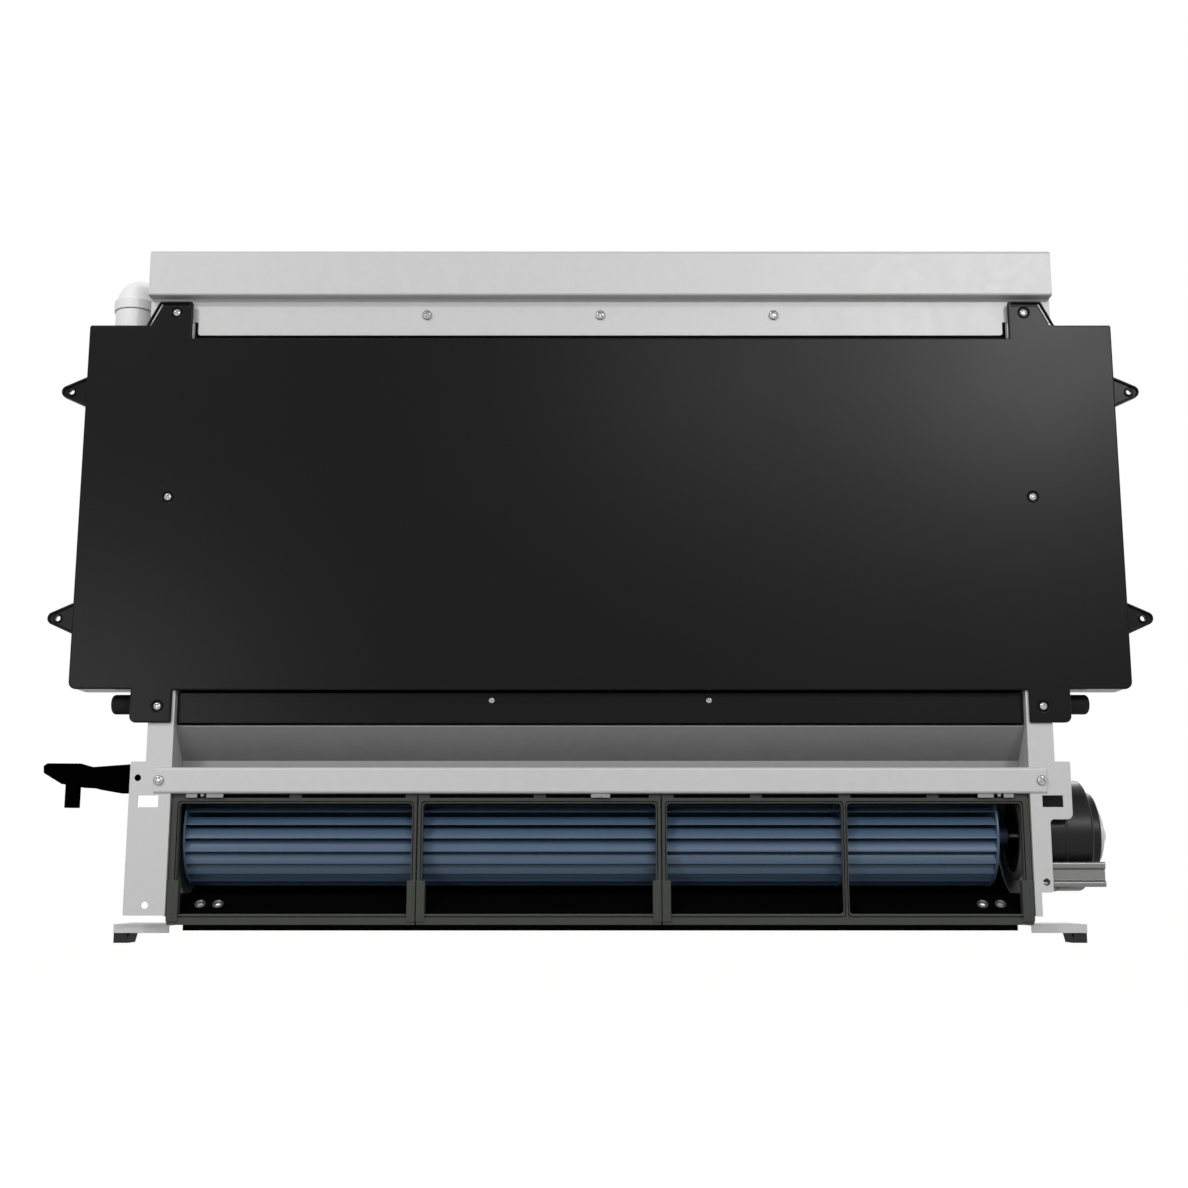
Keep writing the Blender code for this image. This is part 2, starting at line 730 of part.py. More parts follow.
def build_front_upper_panel():
    half = SHEET / 2
    recessed = UPPER_PANEL_FRONT + half
    proud = -CASING_DEPTH + half
    shelf = CASING_HALF_HEIGHT - OUTLET_FLANGE_HEIGHT + half
    path = rounded(
        [
            (recessed, UPPER_PANEL_LOW),
            (recessed, shelf, 0.0012),
            (proud, shelf, 0.0012),
            (proud, CASING_HALF_HEIGHT - half, 0.0012),
            (proud + OUTLET_RETURN, CASING_HALF_HEIGHT - half),
        ],
        closed=False,
        steps=2,
    )
    panel = folded_sheet("front_upper_panel", path, FLANGE_HALF_WIDTH, "galvanised")
    for side, label in ((-1, "left"), (1, "right")):
        corner = rounded(
            [
                (UPPER_TONGUE_HALF - 0.0100, UPPER_PANEL_LOW - 0.0100),
                (UPPER_TONGUE_HALF - 0.0100, UPPER_PANEL_LOW),
                (UPPER_TONGUE_HALF, UPPER_PANEL_LOW, UPPER_TONGUE_CORNER),
                (UPPER_TONGUE_HALF, UPPER_WING_LOW),
                (FLANGE_HALF_WIDTH + 0.0100, UPPER_WING_LOW),
                (FLANGE_HALF_WIDTH + 0.0100, UPPER_PANEL_LOW - 0.0100),
            ]
        )
        cut(
            panel,
            flat_tool(
                f"upper_panel_notch_{label}",
                [mirrored_x(corner, side)],
                6 * SHEET,
                (0, recessed, 0),
                FACING_FRONT,
            ),
        )
    places = [(x, TRAY_SCREW_Z[0]) for x in UPPER_SCREW_X]
    places += [(side * TRAY_SCREW_X, TRAY_SCREW_Z[0]) for side in (-1, 1)]
    for index, (x, z) in enumerate(places):
        cut(
            panel,
            round_tool(
                f"upper_panel_hole_{index}",
                SCREW_HOLE_RADIUS,
                4 * SHEET,
                (x, recessed, z),
                TURNED_TO_FRONT,
                8,
            ),
        )
    return panel



def build_outlet_lining():
    """Black insulation on the inside of the duct's front."""
    place_part(
        "outlet_lining",
        box_mesh(
            "outlet_lining",
            (-DUCT_HALF_WIDTH + GAP, LINING_FRONT, LINING_LOW),
            (DUCT_HALF_WIDTH - GAP, LINING_FRONT + LINING_THICKNESS, LINING_HIGH),
        ),
        "foam",
    )


def build_crossbar():
    half = SHEET / 2
    plane = CROSSBAR_FRONT + half
    face = flat_part(
        "crossbar",
        [
            rectangle((-CROSSBAR_HALF, CROSSBAR_BOTTOM), (CROSSBAR_HALF, CROSSBAR_TOP)),
            circle((-CROSSBAR_SCREW[0], CROSSBAR_SCREW[1]), SCREW_HOLE_RADIUS, 8),
            circle(CROSSBAR_SCREW, SCREW_HOLE_RADIUS, 8),
        ],
        SHEET,
        "galvanised",
        (0, plane, 0),
        FACING_FRONT,
    )
    reach = DUCT_HALF_WIDTH - 2 * SHEET
    top_fold = box_tool(
        "crossbar_top_fold",
        (-reach, CROSSBAR_FRONT + half, CROSSBAR_TOP - SHEET),
        (reach, CROSSBAR_FRONT + CROSSBAR_RETURN, CROSSBAR_TOP),
    )
    join(face, top_fold)
    return face


# Duct, scroll and tongue

def build_duct_front_panel():
    path = [
        (DUCT_PANEL_TOP[0], DUCT_PANEL_TOP[1]),
        (DUCT_PANEL_FOLD[0], DUCT_PANEL_FOLD[1]),
        (DUCT_PANEL_FOLD[0], DUCT_PANEL_LOW),
    ]
    return folded_sheet("duct_front_panel", path, DUCT_HALF_WIDTH - GAP, "dark_galvanised")


def fan_ring(radius, angle):
    return (FAN_AXIS_Y + radius * math.cos(angle), FAN_AXIS_Z + radius * math.sin(angle))


def build_fan_tongue():
    """A hook behind the crossbar that parts the intake from the outlet."""
    rear = DUCT_PANEL_FOLD[0] + SHEET + GAP
    sweep = TONGUE_TO - TONGUE_FROM
    curve = [
        fan_ring(TONGUE_RADIUS, TONGUE_FROM + sweep * i / TONGUE_STEPS)
        for i in range(TONGUE_STEPS + 1)
    ]
    lip = curve[-1]
    path = [(rear, DUCT_PANEL_FOLD[1] - 0.006)] + curve
    path.append((lip[0] - 0.0030, lip[1] + 0.0040))
    return folded_sheet("fan_tongue", path, DUCT_HALF_WIDTH - GAP, "black_sheet")


def scroll_path():
    """Lip strip, slope, then a spiral whose radius grows with the angle."""
    start, end = math.radians(-98.0), 0.0
    path = [(SCROLL_LIP_Y, SCROLL_STRIP_LOW), (SCROLL_LIP_Y, INTAKE_BOTTOM + 0.0080)]
    path.append(SCROLL_SLOPE_TOP)
    for i in range(SCROLL_STEPS + 1):
        part = i / SCROLL_STEPS
        radius = SCROLL_START_RADIUS + (SCROLL_END_RADIUS - SCROLL_START_RADIUS) * part
        path.append(fan_ring(radius, start + (end - start) * part))
    path.append((path[-1][0], SCROLL_HIGH))
    return path


def build_scroll_casing():
    scroll = folded_sheet("scroll_casing", scroll_path(), DUCT_HALF_WIDTH - GAP, "black_sheet")
    for side in (-1, 1):
        for index, place in enumerate(EYELET_PLACES):
            cut(
                scroll,
                round_tool(
                    f"scroll_eyelet_{side}_{index}",
                    EYELET_RADIUS,
                    0.030,
                    (side * place, EYELET_Y, EYELET_Z),
                    (SCROLL_SLOPE, 0, 0),
                    12,
                ),
            )
        beyond = DUCT_HALF_WIDTH + 0.0075
        low = (
            min(side * SCROLL_STRIP_HALF, side * beyond),
            SCROLL_LIP_Y - 0.0100,
            SCROLL_STRIP_LOW - 0.0100,
        )
        high = (
            max(side * SCROLL_STRIP_HALF, side * beyond),
            SCROLL_LIP_Y + 0.0040,
            INTAKE_BOTTOM,
        )
        cut(scroll, box_tool(f"scroll_corner_{side}", low, high))
    return scroll


# Fan

def blade_outline(angle):
    """One blade in the plane across the shaft: a curved strip of even thickness."""
    outer = IMPELLER_RADIUS - 0.0003
    inner = outer - BLADE_CHORD
    inside, outside = [], []
    for i in range(BLADE_STEPS + 1):
        part = i / BLADE_STEPS
        radius = inner + (outer - inner) * part
        bend = math.tan(BLADE_LEAN) * BLADE_CHORD * math.sin(part * BLADE_TURN)
        turn = angle + bend / IMPELLER_RADIUS
        half = BLADE_THICKNESS / 2 / radius
        inside.append((radius * math.cos(turn - half), radius * math.sin(turn - half)))
        outside.append((radius * math.cos(turn + half), radius * math.sin(turn + half)))
    return inside + outside[::-1]


def build_impeller():
    """Blades along the whole drum, threaded through rings and two closed ends."""
    pitch = 2 * math.pi / BLADE_COUNT
    loops = [blade_outline(BLADE_OFFSET + pitch * i) for i in range(BLADE_COUNT)]
    length = IMPELLER_RIGHT - IMPELLER_LEFT - END_DISC
    middle = (IMPELLER_LEFT + IMPELLER_RIGHT) / 2
    wheel = flat_part(
        "impeller",
        [circle((0, 0), IMPELLER_RADIUS, DISC_STEPS)],
        END_DISC,
        "fan_blue",
        (IMPELLER_LEFT + END_DISC / 2, FAN_AXIS_Y, FAN_AXIS_Z),
        FACING_SIDE,
        merged=True,
    )
    axis = (FAN_AXIS_Y, FAN_AXIS_Z)
    far_end = flat_tool(
        "impeller_far_end",
        [circle((0, 0), IMPELLER_RADIUS, DISC_STEPS)],
        END_DISC,
        (IMPELLER_RIGHT - END_DISC / 2, *axis),
        FACING_SIDE,
        merged=True,
    )
    blades = flat_tool(
        "impeller_blades", loops, length, (middle, *axis), FACING_SIDE, merged=True
    )
    join(wheel, blades, far_end)
    for index, place in enumerate(DISC_PLACES):
        ring = flat_tool(
            f"impeller_ring_{index}",
            [
                circle((0, 0), IMPELLER_RADIUS, DISC_STEPS),
                circle((0, 0), DISC_BORE_RADIUS, DISC_STEPS // 2),
            ],
            MIDDLE_DISC,
            (place, *axis),
            FACING_SIDE,
            merged=True,
        )
        join(wheel, ring)
    hub = round_tool(
        "impeller_hub",
        HUB_RADIUS,
        HUB_LENGTH + END_DISC / 2,
        (IMPELLER_RIGHT + (HUB_LENGTH - END_DISC / 2) / 2, *axis),
        ALONG_X,
        16,
    )
    join(wheel, hub)
    bore = SHAFT_RADIUS + SHAFT_FIT
    cut(
        wheel,
        round_tool(
            "impeller_bore_right", bore, 0.036, (IMPELLER_RIGHT + HUB_LENGTH, *axis), ALONG_X, 16
        ),
        round_tool(
            "impeller_bore_left", bore, 0.012, (IMPELLER_LEFT, *axis), ALONG_X, 16
        ),
    )
    return wheel


def build_shafts():
    axis = (FAN_AXIS_Y, FAN_AXIS_Z)
    start, end = IMPELLER_RIGHT - 0.0010, ROTOR_END + 0.0060
    right = place_part(
        "motor_shaft",
        cylinder_mesh("motor_shaft", SHAFT_RADIUS, end - start, 16),
        "steel",
        ((start + end) / 2, *axis),
        ALONG_X,
    )
    start, end = -DUCT_HALF_WIDTH - 0.0060, IMPELLER_LEFT + 0.0055
    left = place_part(
        "stub_shaft",
        cylinder_mesh("stub_shaft", SHAFT_RADIUS, end - start, 16),
        "steel",
        ((start + end) / 2, *axis),
        ALONG_X,
    )
    return right, left


def build_bearing_bush():
    """A flanged rubber bush in the left wall that carries the stub shaft."""
    bore = SHAFT_RADIUS + SHAFT_FIT
    wall_in, wall_out = DUCT_HALF_WIDTH - GAP, DUCT_HALF_WIDTH + SHEET + GAP
    profile = [
        (bore, wall_out + 0.0045),
        (0.0080, wall_out + 0.0045),
        (0.0080, wall_out + 0.0018),
        (BUSH_HOLE + 0.0030, wall_out + 0.0018),
        (BUSH_HOLE + 0.0030, wall_out),
        (BUSH_HOLE - GAP, wall_out),
        (BUSH_HOLE - GAP, wall_in),
        (BUSH_HOLE + 0.0025, wall_in),
        (BUSH_HOLE + 0.0025, wall_in - 0.0018),
        (bore, wall_in - 0.0018),
        (bore, wall_out + 0.0045),
    ]
    return turned_part(
        "stub_bearing_bush",
        profile,
        "rubber",
        (0, FAN_AXIS_Y, FAN_AXIS_Z),
        (0, math.radians(-90.0), 0),
        16,
    )


# Motor

def build_motor():
    place = (0, FAN_AXIS_Y, FAN_AXIS_Z)
    bore = SHAFT_RADIUS + SHAFT_FIT
    wall_in, wall_out = DUCT_HALF_WIDTH - GAP, DUCT_HALF_WIDTH + SHEET + GAP
    isolator_end = wall_out + 0.0022
    flange = ISOLATOR_HOLE + 0.0030
    turned_part(
        "motor_isolator",
        [
            (ISOLATOR_BORE, isolator_end),
            (flange, isolator_end),
            (flange, wall_out),
            (ISOLATOR_HOLE - GAP, wall_out),
            (ISOLATOR_HOLE - GAP, wall_in),
            (flange, wall_in),
            (flange, wall_in - 0.0018),
            (ISOLATOR_BORE, wall_in - 0.0018),
            (ISOLATOR_BORE, isolator_end),
        ],
        "rubber",
        place,
    )
    shield_start = isolator_end + GAP
    shield_end = MOTOR_START - GAP
    turned_part(
        "motor_front_shield",
        [
            (bore, shield_end),
            (MOTOR_RADIUS, shield_end),
            (MOTOR_RADIUS, shield_start),
            (ISOLATOR_BORE - GAP, shield_start),
            (ISOLATOR_BORE - GAP, wall_in - 0.0005),
            (bore, wall_in - 0.0005),
            (bore, shield_end),
        ],
        "motor_black",
        place,
    )
    inner = MOTOR_RADIUS - MOTOR_WALL
    end_floor = MOTOR_DRUM_END + 0.0040
    turned_part(
        "motor_housing",
        [
            (0.0, MOTOR_END),
            (MOTOR_RADIUS * 0.3024, MOTOR_END),
            (MOTOR_RADIUS * 0.5832, MOTOR_END - 0.0018),
            (MOTOR_RADIUS * 0.7322, MOTOR_END - 0.0046),
            (MOTOR_RADIUS * 0.7775, MOTOR_END - 0.0078),
            (MOTOR_RADIUS * 0.9050, MOTOR_END - 0.0107),
            (MOTOR_RADIUS * 0.9892, MOTOR_DRUM_END + 0.0045),
            (MOTOR_RADIUS, MOTOR_DRUM_END),
            (MOTOR_RADIUS, MOTOR_START),
            (inner, MOTOR_START),
            (inner, end_floor),
            (0.0, end_floor),
        ],
        "motor_black",
        place,
    )
    turned_part(
        "motor_end_cap",
        [
            (0.0, MOTOR_END + GAP + END_CAP_PROUD),
            (END_CAP_RADIUS - 0.0040, MOTOR_END + GAP + END_CAP_PROUD),
            (END_CAP_RADIUS - 0.0012, MOTOR_END + GAP + END_CAP_PROUD * 0.6),
            (END_CAP_RADIUS - 0.0008, MOTOR_END + GAP),
            (0.0, MOTOR_END + GAP),
        ],
        "white_plastic",
        place,
    )
    stator_outer = inner - GAP
    turned_part(
        "motor_stator",
        [
            (STATOR_INNER, ROTOR_END),
            (stator_outer, ROTOR_END),
            (stator_outer, ROTOR_START),
            (STATOR_INNER, ROTOR_START),
            (STATOR_INNER, ROTOR_END),
        ],
        "stator_iron",
        place,
    )
    turned_part(
        "motor_rotor",
        [
            (bore, ROTOR_END),
            (ROTOR_RADIUS, ROTOR_END),
            (ROTOR_RADIUS, ROTOR_START),
            (bore, ROTOR_START),
            (bore, ROTOR_END),
        ],
        "stator_iron",
        place,
    )


def build_motor_cradle():
    """A ribbed bracket in front of the motor, folded over at top and bottom."""
    start, end = DUCT_HALF_WIDTH + SHEET + GAP, CRADLE_END
    front, high, low = CRADLE_FRONT, CRADLE_HIGH, CRADLE_LOW
    groove = front + 0.0022
    path = [
        (front + 0.0050, high),
        (front, high),
        (front, high - 0.0040),
        (groove, high - 0.0052),
        (groove, low + 0.0042),
        (front, low + 0.0030),
        (front, low),
        (front + 0.0060, low),
    ]
    mesh = bpy.data.meshes.new("motor_cradle")
    shape = bmesh.new()
    rows = [[shape.verts.new((x, y, z)) for x in (start, end)] for y, z in path]
    for lower, upper in zip(rows, rows[1:]):
        shape.faces.new((lower[0], lower[1], upper[1], upper[0]))
    shape.to_mesh(mesh)
    shape.free()
    cradle = place_part("motor_cradle", mesh, "galvanised")
    wall = cradle.modifiers.new("wall", "SOLIDIFY")
    wall.thickness = SHEET
    wall.offset = 0.0
    wall.use_even_offset = True
    return cradle


# Intake frames

def intake_frame(name, left, right, windows, pads):
    low, high = INTAKE_BOTTOM, INTAKE_TOP
    loops = [rectangle((left, low), (right, high))]
    for start, end in windows:
        loops.append(
            rounded(
                [
                    (start, low + INTAKE_BOTTOM_RAIL, INTAKE_CORNER),
                    (end, low + INTAKE_BOTTOM_RAIL, INTAKE_CORNER),
                    (end, high - INTAKE_TOP_RAIL, INTAKE_CORNER),
                    (start, high - INTAKE_TOP_RAIL, INTAKE_CORNER),
                ]
            )
        )
    frame = flat_part(
        name,
        loops,
        INTAKE_DEPTH,
        "frame_plastic",
        (0, INTAKE_FRONT + INTAKE_DEPTH / 2, 0),
        FACING_FRONT,
    )
    for index, (start, end) in enumerate(pads):
        pad = box_tool(
            f"{name}_clip_{index}",
            (start, INTAKE_FRONT - CLIP_PROUD, CLIP_BOTTOM),
            (end, INTAKE_FRONT + INTAKE_DEPTH - GAP, CLIP_TOP),
        )
        join(frame, pad)
    return frame


def build_intake_frames():
    edge = DUCT_HALF_WIDTH - GAP
    first, second = INTAKE_SPLITS
    shared, half_gap = INTAKE_SHARED_RAIL, GAP / 2
    clip = CLIP_HALF_WIDTH
    side_clip = INTAKE_SIDE_RAIL + 0.0025
    intake_frame(
        "intake_frame_left",
        -edge,
        first - half_gap,
        [(-edge + INTAKE_SIDE_RAIL, first - half_gap - shared)],
        [(-edge, -edge + side_clip), (first - clip, first - half_gap)],
    )
    intake_frame(
        "intake_frame_middle",
        first + half_gap,
        second - half_gap,
        [(first + half_gap + shared, second - half_gap - shared)],
        [(first + half_gap, first + clip), (second - clip, second - half_gap)],
    )
    rib = INTAKE_RIB / 2
    intake_frame(
        "intake_frame_right",
        second + half_gap,
        edge,
        [
            (second + half_gap + shared, INTAKE_RIB_PLACE - rib),
            (INTAKE_RIB_PLACE + rib, edge - INTAKE_SIDE_RAIL),
        ],
        [(second + half_gap, second + clip), (edge - side_clip, edge)],
    )


# Coil

def coil_location(x):
    return (x, COIL_CENTRE[0], COIL_CENTRE[1])


def build_fin_pack():
    """A comb of fins open to the air on both faces, around the core with the tubes."""
    half = DUCT_HALF_WIDTH - 2 * GAP - SHEET - GAP
    pitch = (2 * half - FIN_THICKNESS) / (FIN_COUNT - 1)
    front, back = -COIL_THICKNESS / 2, COIL_THICKNESS / 2
    starts = [-half + i * pitch for i in range(FIN_COUNT)]
    loop = []
    for i, x in enumerate(starts):
        loop += [(x, front), (x + FIN_THICKNESS, front)]
        if i < FIN_COUNT - 1:
            loop.append((x + FIN_THICKNESS, front + FIN_SLOT_DEPTH))
            loop.append((x + pitch, front + FIN_SLOT_DEPTH))
    for i, x in reversed(list(enumerate(starts))):
        loop += [(x + FIN_THICKNESS, back), (x, back)]
        if i > 0:
            loop.append((x, back - FIN_SLOT_DEPTH))
            loop.append((x - pitch + FIN_THICKNESS, back - FIN_SLOT_DEPTH))
    return flat_part(
        "coil_fin_pack",
        [loop],
        COIL_HEIGHT,
        "fin_aluminium",
        coil_location(0),
        (-COIL_TILT, 0, 0),
    )


def tube_height(index):
    return (index - (COIL_TUBES - 1) / 2) * COIL_TUBE_PITCH


def return_bend(name, side, row, index):
    """A half ring of tube that joins two neighbouring tubes of one row."""
    out = side * (COIL_TUBE_PITCH / 2)
    middle = tube_height(index) + COIL_TUBE_PITCH / 2
    depth = side * -0.0008
    points = [(depth, row, middle - COIL_TUBE_PITCH / 2)]
    points += [
        (
            out * math.sin(math.pi * k / BEND_STEPS),
            row,
            middle - COIL_TUBE_PITCH / 2 * math.cos(math.pi * k / BEND_STEPS),
        )
        for k in range(BEND_STEPS + 1)
    ]
    points.append((depth, row, middle + COIL_TUBE_PITCH / 2))
    return tube_mesh(name, points, COIL_TUBE_RADIUS, sides=1)


def build_coil_end(name, side):
    """A tube sheet with the return bends brazed into it."""
    outer_face = DUCT_HALF_WIDTH - GAP
    middle = side * (outer_face - SHEET / 2)
    flat = rectangle(
        (-COIL_THICKNESS / 2, -COIL_HEIGHT / 2), (COIL_THICKNESS / 2, COIL_HEIGHT / 2)
    )
    sheet = flat_part(
        name, [flat], SHEET, "galvanised", coil_location(middle), coil_end_rotation()
    )
    first = 0 if side > 0 else 1
    for row_name, row in (("front", -COIL_ROW_HALF), ("back", COIL_ROW_HALF)):
        for index in range(first, COIL_TUBES - 1, 2):
            bend_name = f"{name}_{row_name}_bend_{index}"
            bend = place_tool(
                bend_name,
                return_bend(bend_name, side, row, index),
                coil_location(side * (outer_face - 0.0002)),
                (-COIL_TILT, 0, 0),
            )
            join(sheet, bend)
    return sheet


def coil_end_rotation():
    """Turns an outline in (across, up) to stand across X on the leaning coil."""
    lean = Matrix.Rotation(-COIL_TILT, 3, "X")
    upright = Matrix(((0, 0, 1), (1, 0, 0), (0, 1, 0)))
    return (lean @ upright).to_euler()


def build_header(name, low, high, outlet, stub_index):
    """A copper manifold beside the left tube sheet, with its two stubs and outlet."""
    x = -(DUCT_HALF_WIDTH + HEADER_OUT)
    pipe = place_part(
        name,
        tube_mesh(name, [(0, 0, low), (0, 0, high)], HEADER_RADIUS, sides=3),
        "copper",
        coil_location(x),
        (-COIL_TILT, 0, 0),
    )
    for row_name, row in (("front", -COIL_ROW_HALF), ("back", COIL_ROW_HALF)):
        stub_name = f"{name}_{row_name}_stub"
        height = tube_height(stub_index)
        reach = HEADER_OUT + GAP - GAP
        stub = place_tool(
            stub_name,
            tube_mesh(
                stub_name,
                [(0.0, row * 0.45, height), (reach - 0.006, row, height), (reach, row, height)],
                COIL_TUBE_RADIUS,
                sides=2,
            ),
            coil_location(x),
            (-COIL_TILT, 0, 0),
        )
        join(pipe, stub)
    y, z = coil_point(0.0, outlet)
    spigot = place_tool(
        name + "_spigot",
        tube_mesh(name + "_spigot", [(0.004, 0, 0), (-0.0220, 0, 0)], 0.0075, sides=3),
        (x, y, z),
    )
    join(pipe, spigot)
    return pipe, (x, y, z)


def build_union_nut(name, place):
    """A hexagonal brass nut on the end of a header's spigot."""
    start = place[0] - HEADER_RADIUS - 0.0020
    end = start - UNION_LENGTH
    nut = place_part(
        name,
        cylinder_mesh(name, UNION_RADIUS, UNION_LENGTH, 6),
        "union_brass",
        ((start + end) / 2, place[1], place[2]),
        ALONG_X,
    )
    cut(
        nut,
        round_tool(
            name + "_bore", 0.0075 + GAP, 0.040, (start, place[1], place[2]), ALONG_X, 16
        ),
    )
    return nut


def build_coil():
    build_fin_pack()
    build_coil_end("coil_left_end", -1)
    build_coil_end("coil_right_end", 1)
    half = COIL_HEIGHT / 2
    flow_high = RETURN_OUTLET - 0.0220
    first, last = 0, COIL_TUBES - 1
    flow = build_header("flow_header", -half + 0.002, flow_high, FLOW_OUTLET, first)[1]
    header, back = build_header(
        "return_header", RETURN_OUTLET - 0.012, RETURN_HEADER_TOP, RETURN_OUTLET, last
    )
    y, z = coil_point(0.0, RETURN_HEADER_TOP)
    cut(
        header,
        round_tool(
            "bleed_bore",
            BLEED_SHANK_RADIUS + GAP,
            2 * (BLEED_SHANK_LENGTH + GAP),
            (back[0], y, z),
            (-COIL_TILT, 0, 0),
            12,
        ),
    )
    build_union_nut("flow_union_nut", flow)
    build_union_nut("return_union_nut", back)
    corner_y, corner_z = coil_point(COIL_THICKNESS / 2, COIL_HEIGHT / 2)
    place_part(
        "coil_top_seal",
        box_mesh(
            "coil_top_seal",
            (-DUCT_HALF_WIDTH + 4 * GAP, corner_y + GAP, corner_z - SEAL_HALF_HEIGHT),
            (DUCT_HALF_WIDTH - 4 * GAP, -SHEET - GAP, corner_z + SEAL_HALF_HEIGHT),
        ),
        "foam",
    )



# Front drip tray

def tray_outline():
    right = [
        (TRAY_MIDDLE_HALF, TRAY_MIDDLE_TOP),
        (TRAY_MIDDLE_HALF, TOP_TAB_HIGH, 0.0020),
        (TOP_TAB_OUT, TOP_TAB_HIGH, 0.0025),
        (TOP_TAB_FOOT, TRAY_TOP),
        (TRAY_HALF, TRAY_TOP, 0.0015),
        (TRAY_HALF, TRAY_BOTTOM, TRAY_CORNER),
        (LOW_TAB_OUT, TRAY_BOTTOM),
        (LOW_TAB_OUT, LOW_TAB_LOW, LOW_TAB_CHAMFER),
        (LOW_TAB_IN, LOW_TAB_LOW),
        (LOW_TAB_IN, TRAY_LOWER_EDGE),
    ]
    left = [(-corner[0], *corner[1:]) for corner in reversed(right)]
    return rounded(right + left)


def tray_wing_rim(side):
    """The raised edge behind a wing: top, side and bottom in one strip."""
    wall = TRAY_SKIN
    inner = RIM_CLEAR
    outer_radius = TRAY_CORNER
    out, top, low = TRAY_HALF - GAP, TRAY_TOP - GAP, TRAY_BOTTOM + GAP
    outline = rounded(
        [
            (inner, top),
            (out, top, 0.0015),
            (out, low, outer_radius),
            (inner, low),
            (inner, low + wall),
            (out - wall, low + wall, outer_radius - wall),
            (out - wall, top - wall, 0.0005),
            (inner, top - wall),
        ]
    )
    return mirrored_x(outline, side)


def ear_outline(side, height):
    """A rounded triangle on the tray's side, with its fixing hole."""
    root = TRAY_HALF - TRAY_SKIN / 2
    centre = EAR_TIP - EAR_TIP_RADIUS
    back = math.atan2(EAR_HALF_ROOT, root - centre)
    reach = math.hypot(EAR_HALF_ROOT, root - centre)
    swing = back - math.acos(EAR_TIP_RADIUS / reach)
    outline = [(root, height - EAR_HALF_ROOT)]
    outline += arc((centre, height), EAR_TIP_RADIUS, -swing, swing, 6)
    outline.append((root, height + EAR_HALF_ROOT))
    hole = circle((EAR_HOLE_X, height), EAR_HOLE_RADIUS, 10)
    return [mirrored_x(outline, side), mirrored_x(hole, side)]


def build_drip_tray():
    holes = [
        circle((side * TRAY_SCREW_X, height), SCREW_HOLE_RADIUS, 8)
        for side in (-1, 1)
        for height in TRAY_SCREW_Z
    ]
    tray = flat_part(
        "drip_tray",
        [tray_outline()] + holes,
        TRAY_SKIN,
        "black_plastic",
        (0, TRAY_FRONT + TRAY_SKIN / 2, 0),
        FACING_FRONT,
        merged=True,
    )
    overlap = TRAY_SKIN / 2
    back_of_skin = TRAY_FRONT + TRAY_SKIN
    rim_depth = TRAY_RIM - overlap
    for side, label in ((-1, "left"), (1, "right")):
        join(
            tray,
            flat_tool(
                f"tray_rim_{label}",
                [tray_wing_rim(side)],
                rim_depth,
                (0, TRAY_FRONT + overlap + rim_depth / 2, 0),
                FACING_FRONT,
                merged=True,
            ),
        )
        for index, height in enumerate(EAR_PLACES):
            join(
                tray,
                flat_tool(
                    f"tray_ear_{label}_{index}",
                    ear_outline(side, height),
                    EAR_THICKNESS,
                    (0, TRAY_FRONT + EAR_SET_BACK + EAR_THICKNESS / 2, 0),
                    FACING_FRONT,
                    merged=True,
                ),
            )
        pad_in, pad_out = TRAY_SCREW_X - 0.0063, TRAY_SCREW_X + 0.0077
        pad_low = (
            min(side * pad_in, side * pad_out),
            back_of_skin - overlap,
            TRAY_SCREW_Z[0] - 0.0081,
        )
        pad_high = (
            max(side * pad_in, side * pad_out),
            UPPER_PANEL_FRONT - GAP,
            TRAY_SCREW_Z[0] + 0.0079,
        )
        join(tray, box_tool(f"tray_tab_pad_{label}", pad_low, pad_high))
        for index, height in enumerate(TRAY_SCREW_Z):
            cut(
                tray,
                round_tool(
                    f"tray_recess_{label}_{index}",
                    SCREW_RECESS_RADIUS,
                    2 * SCREW_RECESS,
                    (side * TRAY_SCREW_X, TRAY_FRONT, height),
                    TURNED_TO_FRONT,
                    12,
                ),
            )
        cut(
            tray,
            round_tool(
                f"tray_pad_hole_{label}",
                SCREW_HOLE_RADIUS,
                0.030,
                (side * TRAY_SCREW_X, back_of_skin, TRAY_SCREW_Z[0]),
                TURNED_TO_FRONT,
                8,
            ),
        )
    inner = DUCT_HALF_WIDTH - 0.0020
    bottom = box_tool(
        "tray_bottom_rim",
        (-inner, back_of_skin - overlap, TRAY_LOWER_EDGE + GAP),
        (inner, back_of_skin + TRAY_INNER_RIM, TRAY_LOWER_EDGE + TRAY_SKIN),
    )
    top = box_tool(
        "tray_top_rim",
        (-inner, back_of_skin - overlap, TRAY_MIDDLE_TOP - TRAY_SKIN),
        (inner, LINING_FRONT - GAP, TRAY_MIDDLE_TOP - GAP),
    )
    join(tray, bottom, top)
    return tray


# Condensate trough and drain caps

